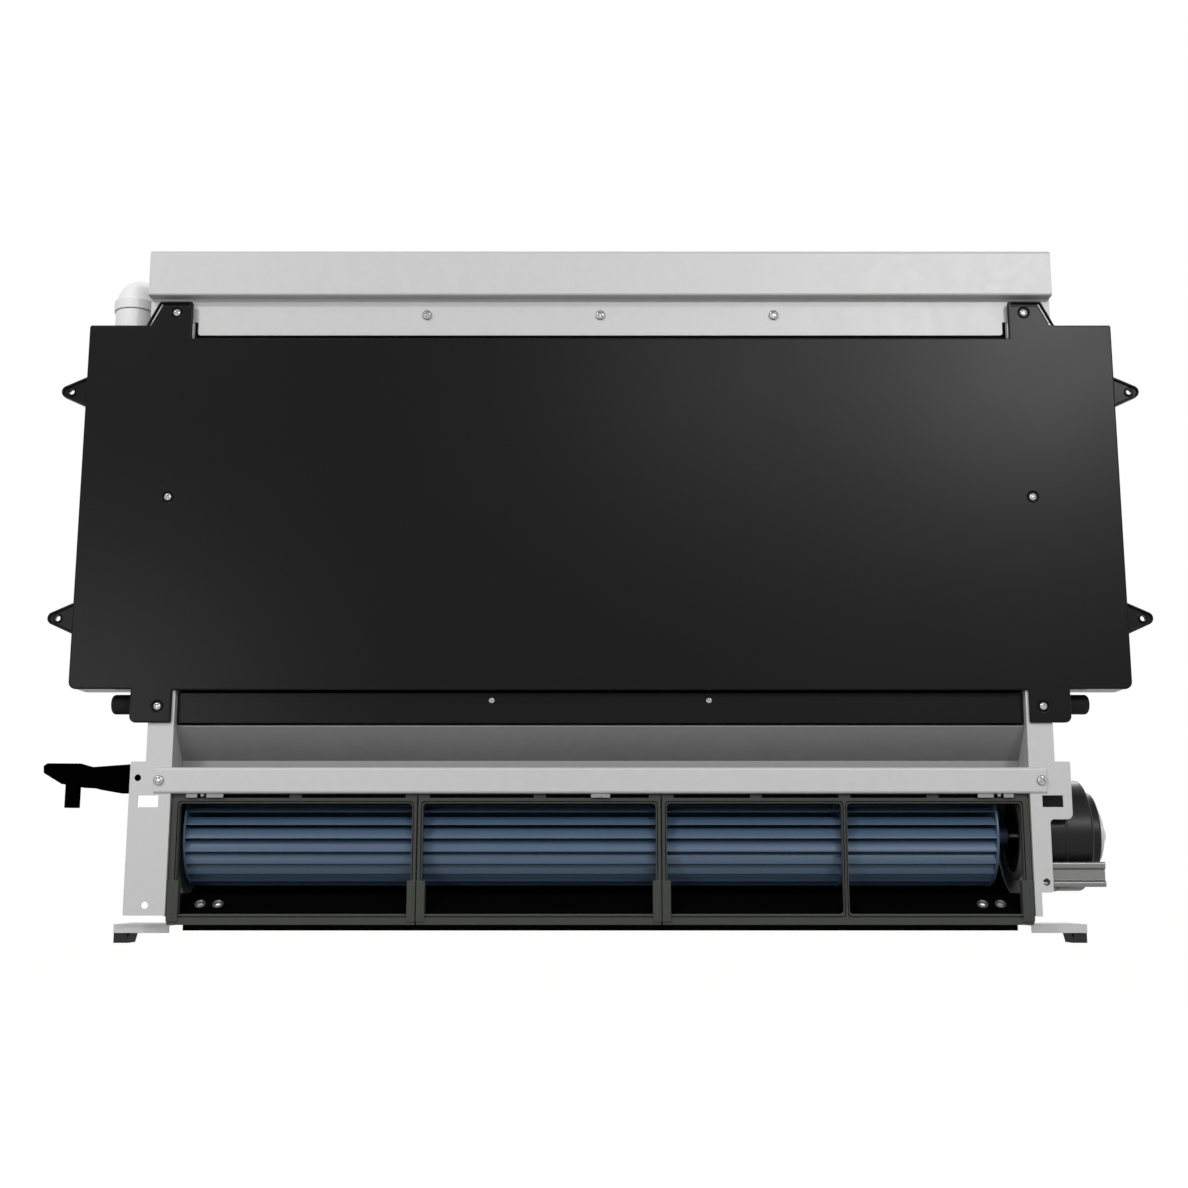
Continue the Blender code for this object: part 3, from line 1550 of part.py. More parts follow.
def build_trough():
    low, high = TROUGH_BOTTOM, TROUGH_TOP
    trough = place_part(
        "condensate_trough",
        box_mesh(
            "condensate_trough",
            (-DUCT_HALF_WIDTH + GAP, TROUGH_FRONT, low),
            (DUCT_HALF_WIDTH - GAP, TROUGH_BACK, high),
        ),
        "black_plastic",
    )
    wall = TROUGH_WALL
    hollow = box_tool(
        "trough_hollow",
        (-DUCT_HALF_WIDTH + GAP + wall, TROUGH_FRONT + wall, low + wall),
        (DUCT_HALF_WIDTH - GAP - wall, TROUGH_BACK - wall, high + wall),
    )
    cut(trough, hollow)
    for side, label in ((-1, "left"), (1, "right")):
        start, end = DUCT_HALF_WIDTH - GAP - wall / 2, SPOUT_END
        middle = (side * (start + end) / 2, SPOUT_Y, SPOUT_Z)
        join(
            trough,
            round_tool(f"trough_spout_{label}", SPOUT_RADIUS, end - start, middle, ALONG_X, 12),
        )
        cut(
            trough,
            round_tool(f"trough_bore_{label}", SPOUT_BORE, 0.120, middle, ALONG_X, 12),
        )
        x = side * TROUGH_SCREW[0]
        cut(
            trough,
            round_tool(
                f"trough_screw_hole_{label}",
                SCREW_HOLE_RADIUS,
                0.010,
                (x, TROUGH_FRONT, TROUGH_SCREW[1]),
                TURNED_TO_FRONT,
                8,
            ),
        )
    return trough


def build_drain_cap(name, side):
    """A rubber cup pushed over the spout's end."""
    bore = SPOUT_RADIUS + GAP
    floor = SPOUT_END + GAP
    profile = [
        (0.0, CAP_END),
        (CAP_RADIUS - 0.0030, CAP_END),
        (CAP_RADIUS - 0.0010, CAP_END - 0.0010),
        (CAP_RADIUS, CAP_END - 0.0035),
        (CAP_RADIUS, CAP_START),
        (bore, CAP_START),
        (bore, floor),
        (0.0, floor),
    ]
    rotation = ALONG_X if side > 0 else (0, math.radians(-90.0), 0)
    return turned_part(name, profile, "rubber", (0, SPOUT_Y, SPOUT_Z), rotation, 16)


# Water pipes on the left side

def build_riser(nut_place):
    """The white insulated pipe that climbs from the return union to the wall elbow."""
    end = nut_place[0] - HEADER_RADIUS - 0.0020 - UNION_LENGTH - GAP
    low = nut_place[2]
    place = (RISER_X, RISER_Y, 0)
    path = [(end - RISER_X, 0, low), (0, 0, low), (0, 0, BELL_LOW - GAP)]
    pipe = place_part(
        "riser_pipe", tube_mesh("riser_pipe", path, RISER_RADIUS, sides=4), "white_plastic", place
    )
    spigot = round_tool(
        "riser_spigot",
        SPIGOT_RADIUS,
        2 * SPIGOT_RISE,
        (RISER_X, RISER_Y, BELL_LOW),
        (0, 0, 0),
        ROUND_STEPS,
    )
    join(pipe, spigot)
    return pipe


def build_riser_elbow():
    """The socketed elbow at the riser's top, turning back to the wall."""
    x, y = RISER_X, RISER_Y
    start = BELL_LOW + SPIGOT_RISE / 2
    elbow = place_part(
        "riser_elbow",
        cylinder_mesh("riser_elbow", RISER_RADIUS, RISER_TOP - start),
        "white_plastic",
        (x, y, (RISER_TOP + start) / 2),
    )
    bell = round_tool(
        "elbow_bell",
        BELL_RADIUS,
        BELL_HIGH - BELL_LOW,
        (x, y, (BELL_HIGH + BELL_LOW) / 2),
        (0, 0, 0),
        ROUND_STEPS,
    )
    knee = place_tool("elbow_knee", ball_mesh("elbow_knee", KNEE_RADIUS), (x, y, RISER_TOP))
    leg = round_tool(
        "elbow_leg",
        RISER_RADIUS,
        -y - GAP,
        (x, (y - GAP) / 2, RISER_TOP),
        TURNED_TO_FRONT,
        ROUND_STEPS,
    )
    join(elbow, bell, knee, leg)
    depth = SPIGOT_RISE + GAP
    cut(
        elbow,
        round_tool(
            "elbow_socket",
            SPIGOT_RADIUS + GAP,
            2 * depth,
            (x, y, BELL_LOW),
            (0, 0, 0),
            ROUND_STEPS,
        ),
    )
    return elbow


def ball_mesh(name, radius, steps=ROUND_STEPS):
    mesh = bpy.data.meshes.new(name)
    shape = bmesh.new()
    bmesh.ops.create_uvsphere(shape, u_segments=steps, v_segments=steps // 2, radius=radius)
    shape.to_mesh(mesh)
    shape.free()
    shade_round(mesh)
    return mesh


def build_pipe_clip():
    """A plastic clip on the side wall whose jaw holds the riser."""
    height, half = CLIP_HEIGHT, 0.0060
    jaw = RISER_RADIUS + GAP
    clip = place_part(
        "pipe_clip",
        box_mesh(
            "pipe_clip",
            (RISER_X - 0.006, RISER_Y - jaw - 0.0030, height - half),
            (-DUCT_HALF_WIDTH - SHEET - GAP, RISER_Y + jaw + 0.0030, height + half),
        ),
        "black_plastic",
    )
    cut(
        clip,
        round_tool("clip_jaw", jaw, 0.060, (RISER_X, RISER_Y, height), (0, 0, 0), ROUND_STEPS),
        box_tool(
            "clip_relief",
            (RISER_X + 0.030, RISER_Y - 0.0150, height - 0.030),
            (-DUCT_HALF_WIDTH - SHEET - 0.0030, RISER_Y + 0.0150, height + 0.030),
        ),
    )
    return clip


def build_bleed_screw():
    """The vent screw, whose shank turns in the bored top of the return header."""
    y, z = coil_point(0.0, RETURN_HEADER_TOP)
    x = -(DUCT_HALF_WIDTH + HEADER_OUT)
    profile = [
        (0.0, BLEED_HEAD_HEIGHT),
        (BLEED_HEAD_RADIUS, BLEED_HEAD_HEIGHT),
        (BLEED_HEAD_RADIUS, GAP),
        (BLEED_SHANK_RADIUS, GAP),
        (BLEED_SHANK_RADIUS, -BLEED_SHANK_LENGTH),
        (0.0, -BLEED_SHANK_LENGTH),
    ]
    return turned_part(
        "bleed_screw", profile, "union_brass", (x, y, z), (-COIL_TILT, 0, 0), 12
    )


def build_valve_tray():
    """A moulded arm that catches drips under the valves and leads them to its spout."""
    root = -(DUCT_HALF_WIDTH + SHEET + GAP)
    high = VALVE_TRAY_HIGH
    outline = rounded(
        [
            (root, high),
            (root - 0.0699, high - 0.0051),
            (root - 0.0801, high - 0.0022),
            (root - 0.1083, high - 0.0020, 0.0025),
            (root - 0.1112, high - 0.0043),
            (root - 0.1108, high - 0.0101, 0.0015),
            (root - 0.0955, high - 0.0192),
            (root - 0.0820, high - 0.0198),
            (root - 0.0765, high - 0.0202),
            (root - 0.0625, high - 0.0241),
            (root, high - 0.0242),
        ]
    )
    arm = flat_part(
        "valve_drip_tray",
        [outline],
        VALVE_TRAY_DEPTH,
        "black_plastic",
        (0, VALVE_TRAY_FRONT + VALVE_TRAY_DEPTH / 2, 0),
        FACING_FRONT,
    )
    wall = VALVE_TRAY_WALL
    hollow = flat_tool(
        "valve_tray_hollow",
        [
            [
                (root - wall, high + 0.0130),
                (root - 0.1060, high + 0.0130),
                (root - 0.1065, high - 0.0085),
                (root - 0.0950, high - 0.0160),
                (root - 0.0770, high - 0.0175),
                (root - 0.0625, high - 0.0215),
                (root - wall, high - 0.0215),
            ]
        ],
        VALVE_TRAY_DEPTH - 2 * wall,
        (0, VALVE_TRAY_FRONT + VALVE_TRAY_DEPTH / 2, 0),
        FACING_FRONT,
    )
    cut(arm, hollow)
    x, y = root - 0.0884, VALVE_TRAY_FRONT + 0.0090
    spout_low, spout_high = high - 0.0385, high - 0.0170
    join(
        arm,
        round_tool(
            "valve_tray_spout",
            0.0063,
            spout_high - spout_low,
            (x, y, (spout_low + spout_high) / 2),
            (0, 0, 0),
        ),
    )
    cut(arm, round_tool("valve_tray_bore", 0.0040, 0.060, (x, y, spout_low), (0, 0, 0)))
    return arm


# Terminal box

def build_terminal_box():
    low, high = Vector(BOX_LOW), Vector(BOX_HIGH)
    wall = 0.0025
    box = place_part("terminal_box", box_mesh("terminal_box", low, high), "black_plastic")
    cut(
        box,
        box_tool(
            "terminal_box_hollow",
            (low.x + wall, low.y - wall, low.z + wall),
            (high.x - wall, high.y - wall, high.z - wall),
        ),
        round_tool(
            "terminal_box_entry",
            0.0060,
            0.020,
            ((low.x + high.x) / 2, (low.y + high.y) / 2, low.z),
            (0, 0, 0),
        ),
    )
    place_part(
        "terminal_box_cover",
        box_mesh(
            "terminal_box_cover",
            (low.x, low.y - GAP - BOX_LID, low.z),
            (high.x, low.y - GAP, high.z),
        ),
        "black_plastic",
    )
    block_low = (low.x + 0.010, high.y - wall - GAP - 0.018, low.z + 0.030)
    block_high = (high.x - 0.010, high.y - wall - GAP, high.z - 0.030)
    place_part(
        "terminal_block", box_mesh("terminal_block", block_low, block_high), "white_plastic"
    )


# Feet

def build_foot(side, label):
    start = DUCT_HALF_WIDTH + SHEET + GAP
    depth = FOOT_BACK - FOOT_FRONT
    profile = [
        (start, FOOT_TAB_TOP),
        (start + SHEET, FOOT_TAB_TOP),
        (start + SHEET, FOOT_TOP),
        (FOOT_OUT, FOOT_TOP),
        (FOOT_OUT, FOOT_TOP - SHEET),
        (start, FOOT_TOP - SHEET),
    ]
    bracket = flat_part(
        f"{label}_foot_bracket",
        [mirrored_x(profile, side)],
        depth,
        "galvanised",
        (0, (FOOT_FRONT + FOOT_BACK) / 2, 0),
        FACING_FRONT,
    )
    lip_low = (min(side * start, side * FOOT_OUT), FOOT_FRONT, FOOT_LIP_LOW)
    lip_high = (max(side * start, side * FOOT_OUT), FOOT_FRONT + SHEET, FOOT_TOP)
    join(bracket, box_tool(f"{label}_foot_lip", lip_low, lip_high))
    top = FOOT_TOP - SHEET - GAP
    inner = FOOT_OUT - PAD_WIDTH
    pad = [
        (FOOT_OUT, top),
        (FOOT_OUT, PAD_LOW),
        (inner + 0.0020, PAD_LOW),
        (inner, FOOT_LIP_LOW),
        (inner + 0.0010, FOOT_LIP_LOW + 0.0010),
        (inner + PAD_SLOT, PAD_LOW + 0.0025),
        (inner + PAD_SLOT + 0.0015, top),
    ]
    flat_part(
        f"{label}_foot_pad",
        [mirrored_x(pad, side)],
        PAD_DEPTH,
        "rubber",
        (0, FOOT_FRONT + SHEET + GAP + PAD_DEPTH / 2, 0),
        FACING_FRONT,
    )


# Screws

def build_screw(name, x, z, seat, head_radius, reach=0.0070):
    """A pan head screw whose head rests on the plane Y = seat."""
    height = PAN_HEAD_HEIGHT * head_radius / PAN_HEAD_RADIUS
    seat_gap = GAP
    profile = [
        (0.0, height + seat_gap),
        (head_radius * 0.72, height * 0.82 + seat_gap),
        (head_radius, height * 0.30 + seat_gap),
        (head_radius, seat_gap),
        (SHANK_RADIUS, seat_gap),
        (SHANK_RADIUS, -reach),
        (0.0, -reach),
    ]
    return turned_part(name, profile, "zinc", (x, seat, z), TURNED_TO_FRONT, SCREW_STEPS)


def build_screws():
    for side, label in ((-1, "left"), (1, "right")):
        for place, height in zip(("upper", "middle", "lower"), TRAY_SCREW_Z):
            name = f"tray_screw_{label}_{place}"
            seat = TRAY_FRONT + SCREW_RECESS
            build_screw(name, side * TRAY_SCREW_X, height, seat, 0.0034)
        build_screw(
            f"crossbar_screw_{label}",
            side * CROSSBAR_SCREW[0],
            CROSSBAR_SCREW[1],
            CROSSBAR_FRONT,
            PAN_HEAD_RADIUS,
        )
        build_screw(
            f"trough_screw_{label}",
            side * TROUGH_SCREW[0],
            TROUGH_SCREW[1],
            TROUGH_FRONT,
            SMALL_HEAD_RADIUS,
            reach=0.0019,
        )
    for index, x in enumerate(UPPER_SCREW_X):
        build_screw(
            f"upper_panel_screw_{index + 1}",
            x,
            TRAY_SCREW_Z[0],
            UPPER_PANEL_FRONT,
            PAN_HEAD_RADIUS,
            reach=0.0025,
        )


def build_unit():
    build_back_panel()
    build_side_plate("left_side_plate", -1)
    build_side_plate("right_side_plate", 1)
    build_front_upper_panel()
    build_outlet_lining()
    build_crossbar()
    build_duct_front_panel()
    build_fan_tongue()
    build_scroll_casing()
    build_impeller()
    build_shafts()
    build_bearing_bush()
    build_motor()
    build_motor_cradle()
    build_intake_frames()
    build_coil()
    build_drip_tray()
    build_trough()
    build_drain_cap("left_drain_cap", -1)
    build_drain_cap("right_drain_cap", 1)
    union_y, union_z = coil_point(0.0, RETURN_OUTLET)
    build_riser((-(DUCT_HALF_WIDTH + HEADER_OUT), union_y, union_z))
    build_riser_elbow()
    build_pipe_clip()
    build_bleed_screw()
    build_valve_tray()
    build_terminal_box()
    build_foot(-1, "left")
    build_foot(1, "right")
    build_screws()


build_unit()
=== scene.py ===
"""Dressed scene of a slim concealed fan coil unit, seen from the front and a little below.

Metres, +Z up. X runs along the unit, the front faces -Y, and the wall face of the back panel
lies in the plane Y = 0. Each sub-assembly is a class whose fields are its sizes.
"""

import logging
import math
from dataclasses import dataclass, field
from enum import Enum

import bmesh
import bpy
import numpy as np
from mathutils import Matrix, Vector
from mathutils.geometry import tessellate_polygon


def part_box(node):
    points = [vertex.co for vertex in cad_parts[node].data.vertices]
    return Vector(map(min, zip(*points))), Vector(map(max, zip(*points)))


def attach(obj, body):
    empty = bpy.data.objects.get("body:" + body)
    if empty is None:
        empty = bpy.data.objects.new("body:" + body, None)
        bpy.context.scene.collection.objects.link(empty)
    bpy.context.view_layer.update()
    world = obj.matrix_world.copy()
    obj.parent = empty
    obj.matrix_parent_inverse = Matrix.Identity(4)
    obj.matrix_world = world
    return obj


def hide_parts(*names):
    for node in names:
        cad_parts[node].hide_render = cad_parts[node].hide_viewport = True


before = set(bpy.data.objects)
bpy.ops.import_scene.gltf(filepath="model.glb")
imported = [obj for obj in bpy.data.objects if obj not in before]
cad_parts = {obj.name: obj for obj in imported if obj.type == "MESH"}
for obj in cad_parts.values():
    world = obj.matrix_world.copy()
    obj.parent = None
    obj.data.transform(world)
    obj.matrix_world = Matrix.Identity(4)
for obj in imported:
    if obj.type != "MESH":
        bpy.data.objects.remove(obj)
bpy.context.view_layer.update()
LOG = logging.getLogger("fan_coil_unit")
GAP = 0.0003
SHEET = 0.0012


class Body(Enum):
    """The moving groups of the unit."""

    CASING = "casing"
    ROTOR = "fan_rotor"
    LEFT_CAP = "left_cap"
    RIGHT_CAP = "right_cap"
    BLEED = "bleed"


class Axis(Enum):
    """Directions that a turned piece may face, from its foot to its top."""

    RIGHT = (1.0, 0.0, 0.0)
    LEFT = (-1.0, 0.0, 0.0)
    FRONT = (0.0, -1.0, 0.0)
    UP = (0.0, 0.0, 1.0)


def linear(colour: str, share: float = 1.0) -> tuple[float, float, float, float]:
    """Turns an sRGB hex colour to linear light.

    Each channel c becomes c / 12.92 up to 0.04045, and ((c + 0.055) / 1.055) to the power 2.4
    above it.

    Args:
        colour: the colour as #rrggbb.
        share: how much of its light is kept.

    Returns:
        Red, green, blue and an opaque alpha.
    """
    srgb = np.array([int(colour[i : i + 2], 16) for i in (1, 3, 5)]) / 255
    light = np.where(srgb <= 0.04045, srgb / 12.92, ((srgb + 0.055) / 1.055) ** 2.4)
    return (*(min(float(c) * share, 1.0) for c in light), 1.0)


def add_node(
    tree: bpy.types.NodeTree, kind: str, inputs: dict | None = None, **settings: object
) -> bpy.types.Node:
    """Adds one node with its settings, its constant inputs and its links.

    Args:
        tree: the node tree that gets the node.
        kind: Blender's name of the node type.
        inputs: values or output sockets by the name or number of the node's input.
        **settings: attributes of the node itself.

    Returns:
        The new node.
    """
    node = tree.nodes.new(kind)
    for key, value in settings.items():
        setattr(node, key, value)
    for key, value in (inputs or {}).items():
        if isinstance(value, bpy.types.NodeSocket):
            tree.links.new(value, node.inputs[key])
        else:
            node.inputs[key].default_value = value
    return node


@dataclass(frozen=True)
class Finish:
    """A surface finish: one colour with slow patches, fine grain and softened edges.

    The patches and the grain are noise on object coordinates, sized in real millimetres. The
    edge is softened over edge_mm, and where it turns the colour is a little lighter.
    """

    name: str
    colour: str
    roughness: float
    metallic: float = 0.0
    ior: float = 1.5
    specular: float = 0.5
    shade: float = 0.06
    patch_mm: float = 60.0
    grain_mm: float = 0.9
    grain_deep_mm: float = 0.012
    rough_swing: float = 0.05
    edge_mm: float = 0.6
    edge_lift: float = 0.12
    stretch: tuple[float, float, float] = (1.0, 1.0, 1.0)

    def pattern(
        self, tree: bpy.types.NodeTree, place: bpy.types.NodeSocket
    ) -> bpy.types.NodeSocket:
        """Gives the share, 0 to 1, by which the colour moves from its dark to its light.

        Args:
            tree: the material's node tree.
            place: the coordinates that the pattern follows.

        Returns:
            The socket with that share.
        """
        inputs = {"Vector": place, "Scale": 1000 / self.patch_mm, "Detail": 3.0}
        return add_node(tree, "ShaderNodeTexNoise", inputs).outputs["Fac"]

    def relief(
        self, tree: bpy.types.NodeTree, place: bpy.types.NodeSocket
    ) -> bpy.types.NodeSocket:
        """Gives the height, 0 to 1, of the fine grain.

        Args:
            tree: the material's node tree.
            place: the coordinates that the grain follows.

        Returns:
            The socket with that height.
        """
        inputs = {"Vector": place, "Scale": 1000 / self.grain_mm, "Detail": 2.0}
        return add_node(tree, "ShaderNodeTexNoise", inputs).outputs["Fac"]

    def material(self) -> bpy.types.Material:
        """Builds the material once and hands out the same one after that.

        Returns:
            The material of this finish.
        """
        found = bpy.data.materials.get(self.name)
        if found:
            return found
        made = bpy.data.materials.new(self.name)
        made.use_nodes = True
        made.diffuse_color = linear(self.colour)
        tree = made.node_tree
        tree.nodes.clear()
        where = add_node(tree, "ShaderNodeTexCoord").outputs["Object"]
        place = add_node(
            tree, "ShaderNodeMapping", {"Vector": where, "Scale": self.stretch}
        ).outputs["Vector"]
        share = self.pattern(tree, place)
        body = add_node(
            tree,
            "ShaderNodeMix",
            {
                0: share,
                6: linear(self.colour, 1 - self.shade),
                7: linear(self.colour, 1 + self.shade),
            },
            data_type="RGBA",
        )
        soft = add_node(
            tree, "ShaderNodeBevel", {"Radius": self.edge_mm / 1000}, samples=4
        ).outputs["Normal"]
        facing = add_node(tree, "ShaderNodeNewGeometry").outputs["Normal"]
        turn = add_node(
            tree, "ShaderNodeVectorMath", {0: soft, 1: facing}, operation="DOT_PRODUCT"
        ).outputs["Value"]
        worn = add_node(
            tree,
            "ShaderNodeMapRange",
            {"Value": turn, "From Min": 0.995, "From Max": 0.85, "To Min": 0.0, "To Max": 1.0},
        ).outputs["Result"]
        lifted = add_node(
            tree,
            "ShaderNodeMix",
            {0: worn, 6: body.outputs[2], 7: linear(self.colour, 1 + self.edge_lift * 4)},
            data_type="RGBA",
        )
        rough = add_node(
            tree,
            "ShaderNodeMapRange",
            {
                "Value": share,
                "To Min": self.roughness - self.rough_swing,
                "To Max": self.roughness + self.rough_swing,
            },
        )
        bump = add_node(
            tree,
            "ShaderNodeBump",
            {
                "Height": self.relief(tree, place),
                "Distance": self.grain_deep_mm / 1000,
                "Strength": 0.6,
                "Normal": soft,
            },
        )
        shader = add_node(
            tree,
            "ShaderNodeBsdfPrincipled",
            {
                "Base Color": lifted.outputs[2],
                "Metallic": self.metallic,
                "Roughness": rough.outputs["Result"],
                "IOR": self.ior,
                "Specular IOR Level": self.specular,
                "Normal": bump.outputs["Normal"],
            },
        )
        out = add_node(tree, "ShaderNodeOutputMaterial")
        tree.links.new(shader.outputs[0], out.inputs["Surface"])
        return made


@dataclass(frozen=True)
class Spangled(Finish):
    """Hot-dip zinc on steel sheet: crystals a few millimetres wide, each a shade apart."""

    crystal_mm: float = 7.0

    def pattern(
        self, tree: bpy.types.NodeTree, place: bpy.types.NodeSocket
    ) -> bpy.types.NodeSocket:
        """Gives each crystal of a Voronoi field its own share, softened by slow noise.

        Args:
            tree: the material's node tree.
            place: the coordinates that the pattern follows.

        Returns:
            The socket with that share.
        """
        cells = add_node(
            tree, "ShaderNodeTexVoronoi", {"Vector": place, "Scale": 1000 / self.crystal_mm}
        ).outputs["Color"]
        tone = add_node(tree, "ShaderNodeSeparateColor", {"Color": cells}).outputs["Red"]
        slow = super().pattern(tree, place)
        return add_node(tree, "ShaderNodeMix", {0: 0.55, 2: tone, 3: slow}).outputs[0]


@dataclass(frozen=True)
class Foamed(Finish):
    """Closed-cell foam: round cells that pit the surface."""

    def relief(
        self, tree: bpy.types.NodeTree, place: bpy.types.NodeSocket
    ) -> bpy.types.NodeSocket:
        """Gives the distance to the nearest cell's middle as the height.

        Args:
            tree: the material's node tree.
            place: the coordinates that the cells follow.

        Returns:
            The socket with that height.
        """
        inputs = {"Vector": place, "Scale": 1000 / self.grain_mm}
        return add_node(tree, "ShaderNodeTexVoronoi", inputs).outputs["Distance"]


# Galvanised sheet: a dull, even light grey with faint crystals
ZINC_SHEET = Spangled(
    "galvanised_steel_sheet", "#c4c4c4", 0.48, metallic=0.2, shade=0.035, grain_mm=1.2,
    grain_deep_mm=0.004, edge_mm=0.5, edge_lift=0.08,
)
# The same galvanised sheet painted darker: painted shade for the duct panel and the frame tongues,
# which sit in shadow
SHADE_PAINTED_SHEET = Spangled(
    "galvanised_sheet_painted_shade", "#969696", 0.6, metallic=0.2, shade=0.05, grain_deep_mm=0.004
)
# Black ABS, moulded in a finely etched tool: satin, with a soft wide highlight
BLACK_ABS = Finish(
    "moulded_black_abs", "#080808", 0.29, specular=0.12, shade=0.10, patch_mm=90.0,
    grain_mm=0.7, grain_deep_mm=0.010, rough_swing=0.02, edge_mm=0.9, edge_lift=0.5,
)
# Black powder-coated sheet around the fan, almost without light of its own
BLACK_SHEET = Finish(
    "powder_coated_black_sheet", "#020202", 0.7, specular=0.02, grain_mm=1.6, grain_deep_mm=0.02
)
# Glass-filled nylon of the intake frames: dark, slightly green grey
FRAME_NYLON = Finish(
    "moulded_grey_nylon", "#414340", 0.5, specular=0.2, shade=0.08, patch_mm=25.0,
    grain_mm=0.6, grain_deep_mm=0.015, edge_mm=0.5, edge_lift=0.35,
)
# Slate blue glass-filled plastic of the fan, smooth from the mould
FAN_PLASTIC = Finish(
    "moulded_slate_blue_plastic", "#495f76", 0.38, specular=0.35, shade=0.08, patch_mm=35.0,
    grain_mm=0.8, grain_deep_mm=0.006, edge_mm=0.3, edge_lift=0.15,
)
# Ground steel of the shafts: bright with fine turning marks round the shaft
GROUND_STEEL = Finish(
    "ground_shaft_steel", "#bdbbb6", 0.28, metallic=1.0, shade=0.06, patch_mm=4.0,
    grain_mm=0.5, stretch=(8.0, 1.0, 1.0),
)
# EPDM rubber: matt, nearly black, with a dusty bloom
EPDM = Finish(
    "moulded_epdm_rubber", "#1f1f1f", 0.7, specular=0.15, shade=0.14, patch_mm=9.0,
    grain_mm=0.5, grain_deep_mm=0.02, edge_lift=0.3,
)
# Softer, greyer rubber of the foot pads
PAD_RUBBER = Finish(
    "moulded_grey_pad_rubber", "#343434", 0.75, specular=0.15, shade=0.10, patch_mm=7.0,
    grain_mm=0.5, grain_deep_mm=0.02, edge_lift=0.2,
)
# Lighter nylon of the ring round the motor's rubber mount
RING_NYLON = Finish("moulded_light_grey_nylon", "#6a6a67", 0.5, specular=0.25, grain_mm=0.6)
# Motor shell: black satin paint over a drawn can
MOTOR_PAINT = Finish(
    "satin_black_motor_paint", "#0a0a0a", 0.36, specular=0.22, shade=0.10, patch_mm=40.0,
    grain_mm=1.4, grain_deep_mm=0.02, edge_mm=0.8, edge_lift=0.5,
)
# Stacked iron laminations of the motor
LAMINATED_IRON = Finish(
    "laminated_motor_iron", "#6d6d70", 0.5, metallic=0.9, shade=0.2, patch_mm=1.0,
    stretch=(1.0, 0.02, 0.02),
)
# White polypropylene pipe and fittings: clean, with a soft shine
WHITE_PIPE = Finish(
    "white_polypropylene", "#fafbfa", 0.34, specular=0.4, shade=0.015, patch_mm=30.0,
    grain_mm=1.0, grain_deep_mm=0.004, edge_mm=0.4, edge_lift=0.0,
)
# Rolled aluminium fin stock: bright, with fine rolling lines
FIN_STOCK = Finish(
    "rolled_aluminium_fin_stock", "#c9ccce", 0.36, metallic=1.0, shade=0.08, patch_mm=6.0,
    edge_mm=0.1, stretch=(1.0, 1.0, 0.2),
)
# Drawn copper tube: salmon metal with brown patches of oxide
COPPER = Finish(
    "drawn_copper_tube", "#b8754f", 0.32, metallic=1.0, shade=0.16, patch_mm=11.0,
    rough_swing=0.10, edge_mm=0.3,
)
# Machined brass of the unions
BRASS = Finish(
    "machined_brass", "#c2a05a", 0.27, metallic=1.0, shade=0.08, patch_mm=7.0, rough_swing=0.07
)
# Black closed-cell foam glued to the sheet
FOAM = Foamed(
    "closed_cell_foam", "#121212", 0.95, specular=0.1, shade=0.15, patch_mm=12.0,
    grain_mm=1.3, grain_deep_mm=0.25,
)
# Tinned steel of the rolled eyelets, dulled to a mid grey
EYELET_STEEL = Finish(
    "tinned_eyelet_steel", "#6a6a6a", 0.42, metallic=0.8, shade=0.08, patch_mm=2.0, edge_mm=0.2
)
# Zinc on the screws: a clear mid grey with a soft shine
ZINC_BRIGHT = Finish(
    "bright_zinc_plate", "#a4a5a6", 0.24, metallic=1.0, shade=0.08, patch_mm=2.5,
    edge_mm=0.2, edge_lift=0.05,
)

# Matt black polypropylene of the drip arm and the pipe clip
BLACK_PP = Finish(
    "matt_black_polypropylene", "#020202", 0.6, specular=0.0, grain_mm=0.8, edge_mm=0.8,
    edge_lift=0.5,
)
# Stainless strip of the motor cradle: a mid grey that mirrors softly along its folds
CRADLE_STEEL = Finish(
    "rolled_stainless_strip", "#757574", 0.33, metallic=0.75, shade=0.08, patch_mm=14.0,
    grain_mm=0.6, grain_deep_mm=0.003, edge_mm=0.4, stretch=(0.1, 1.0, 1.0),
)

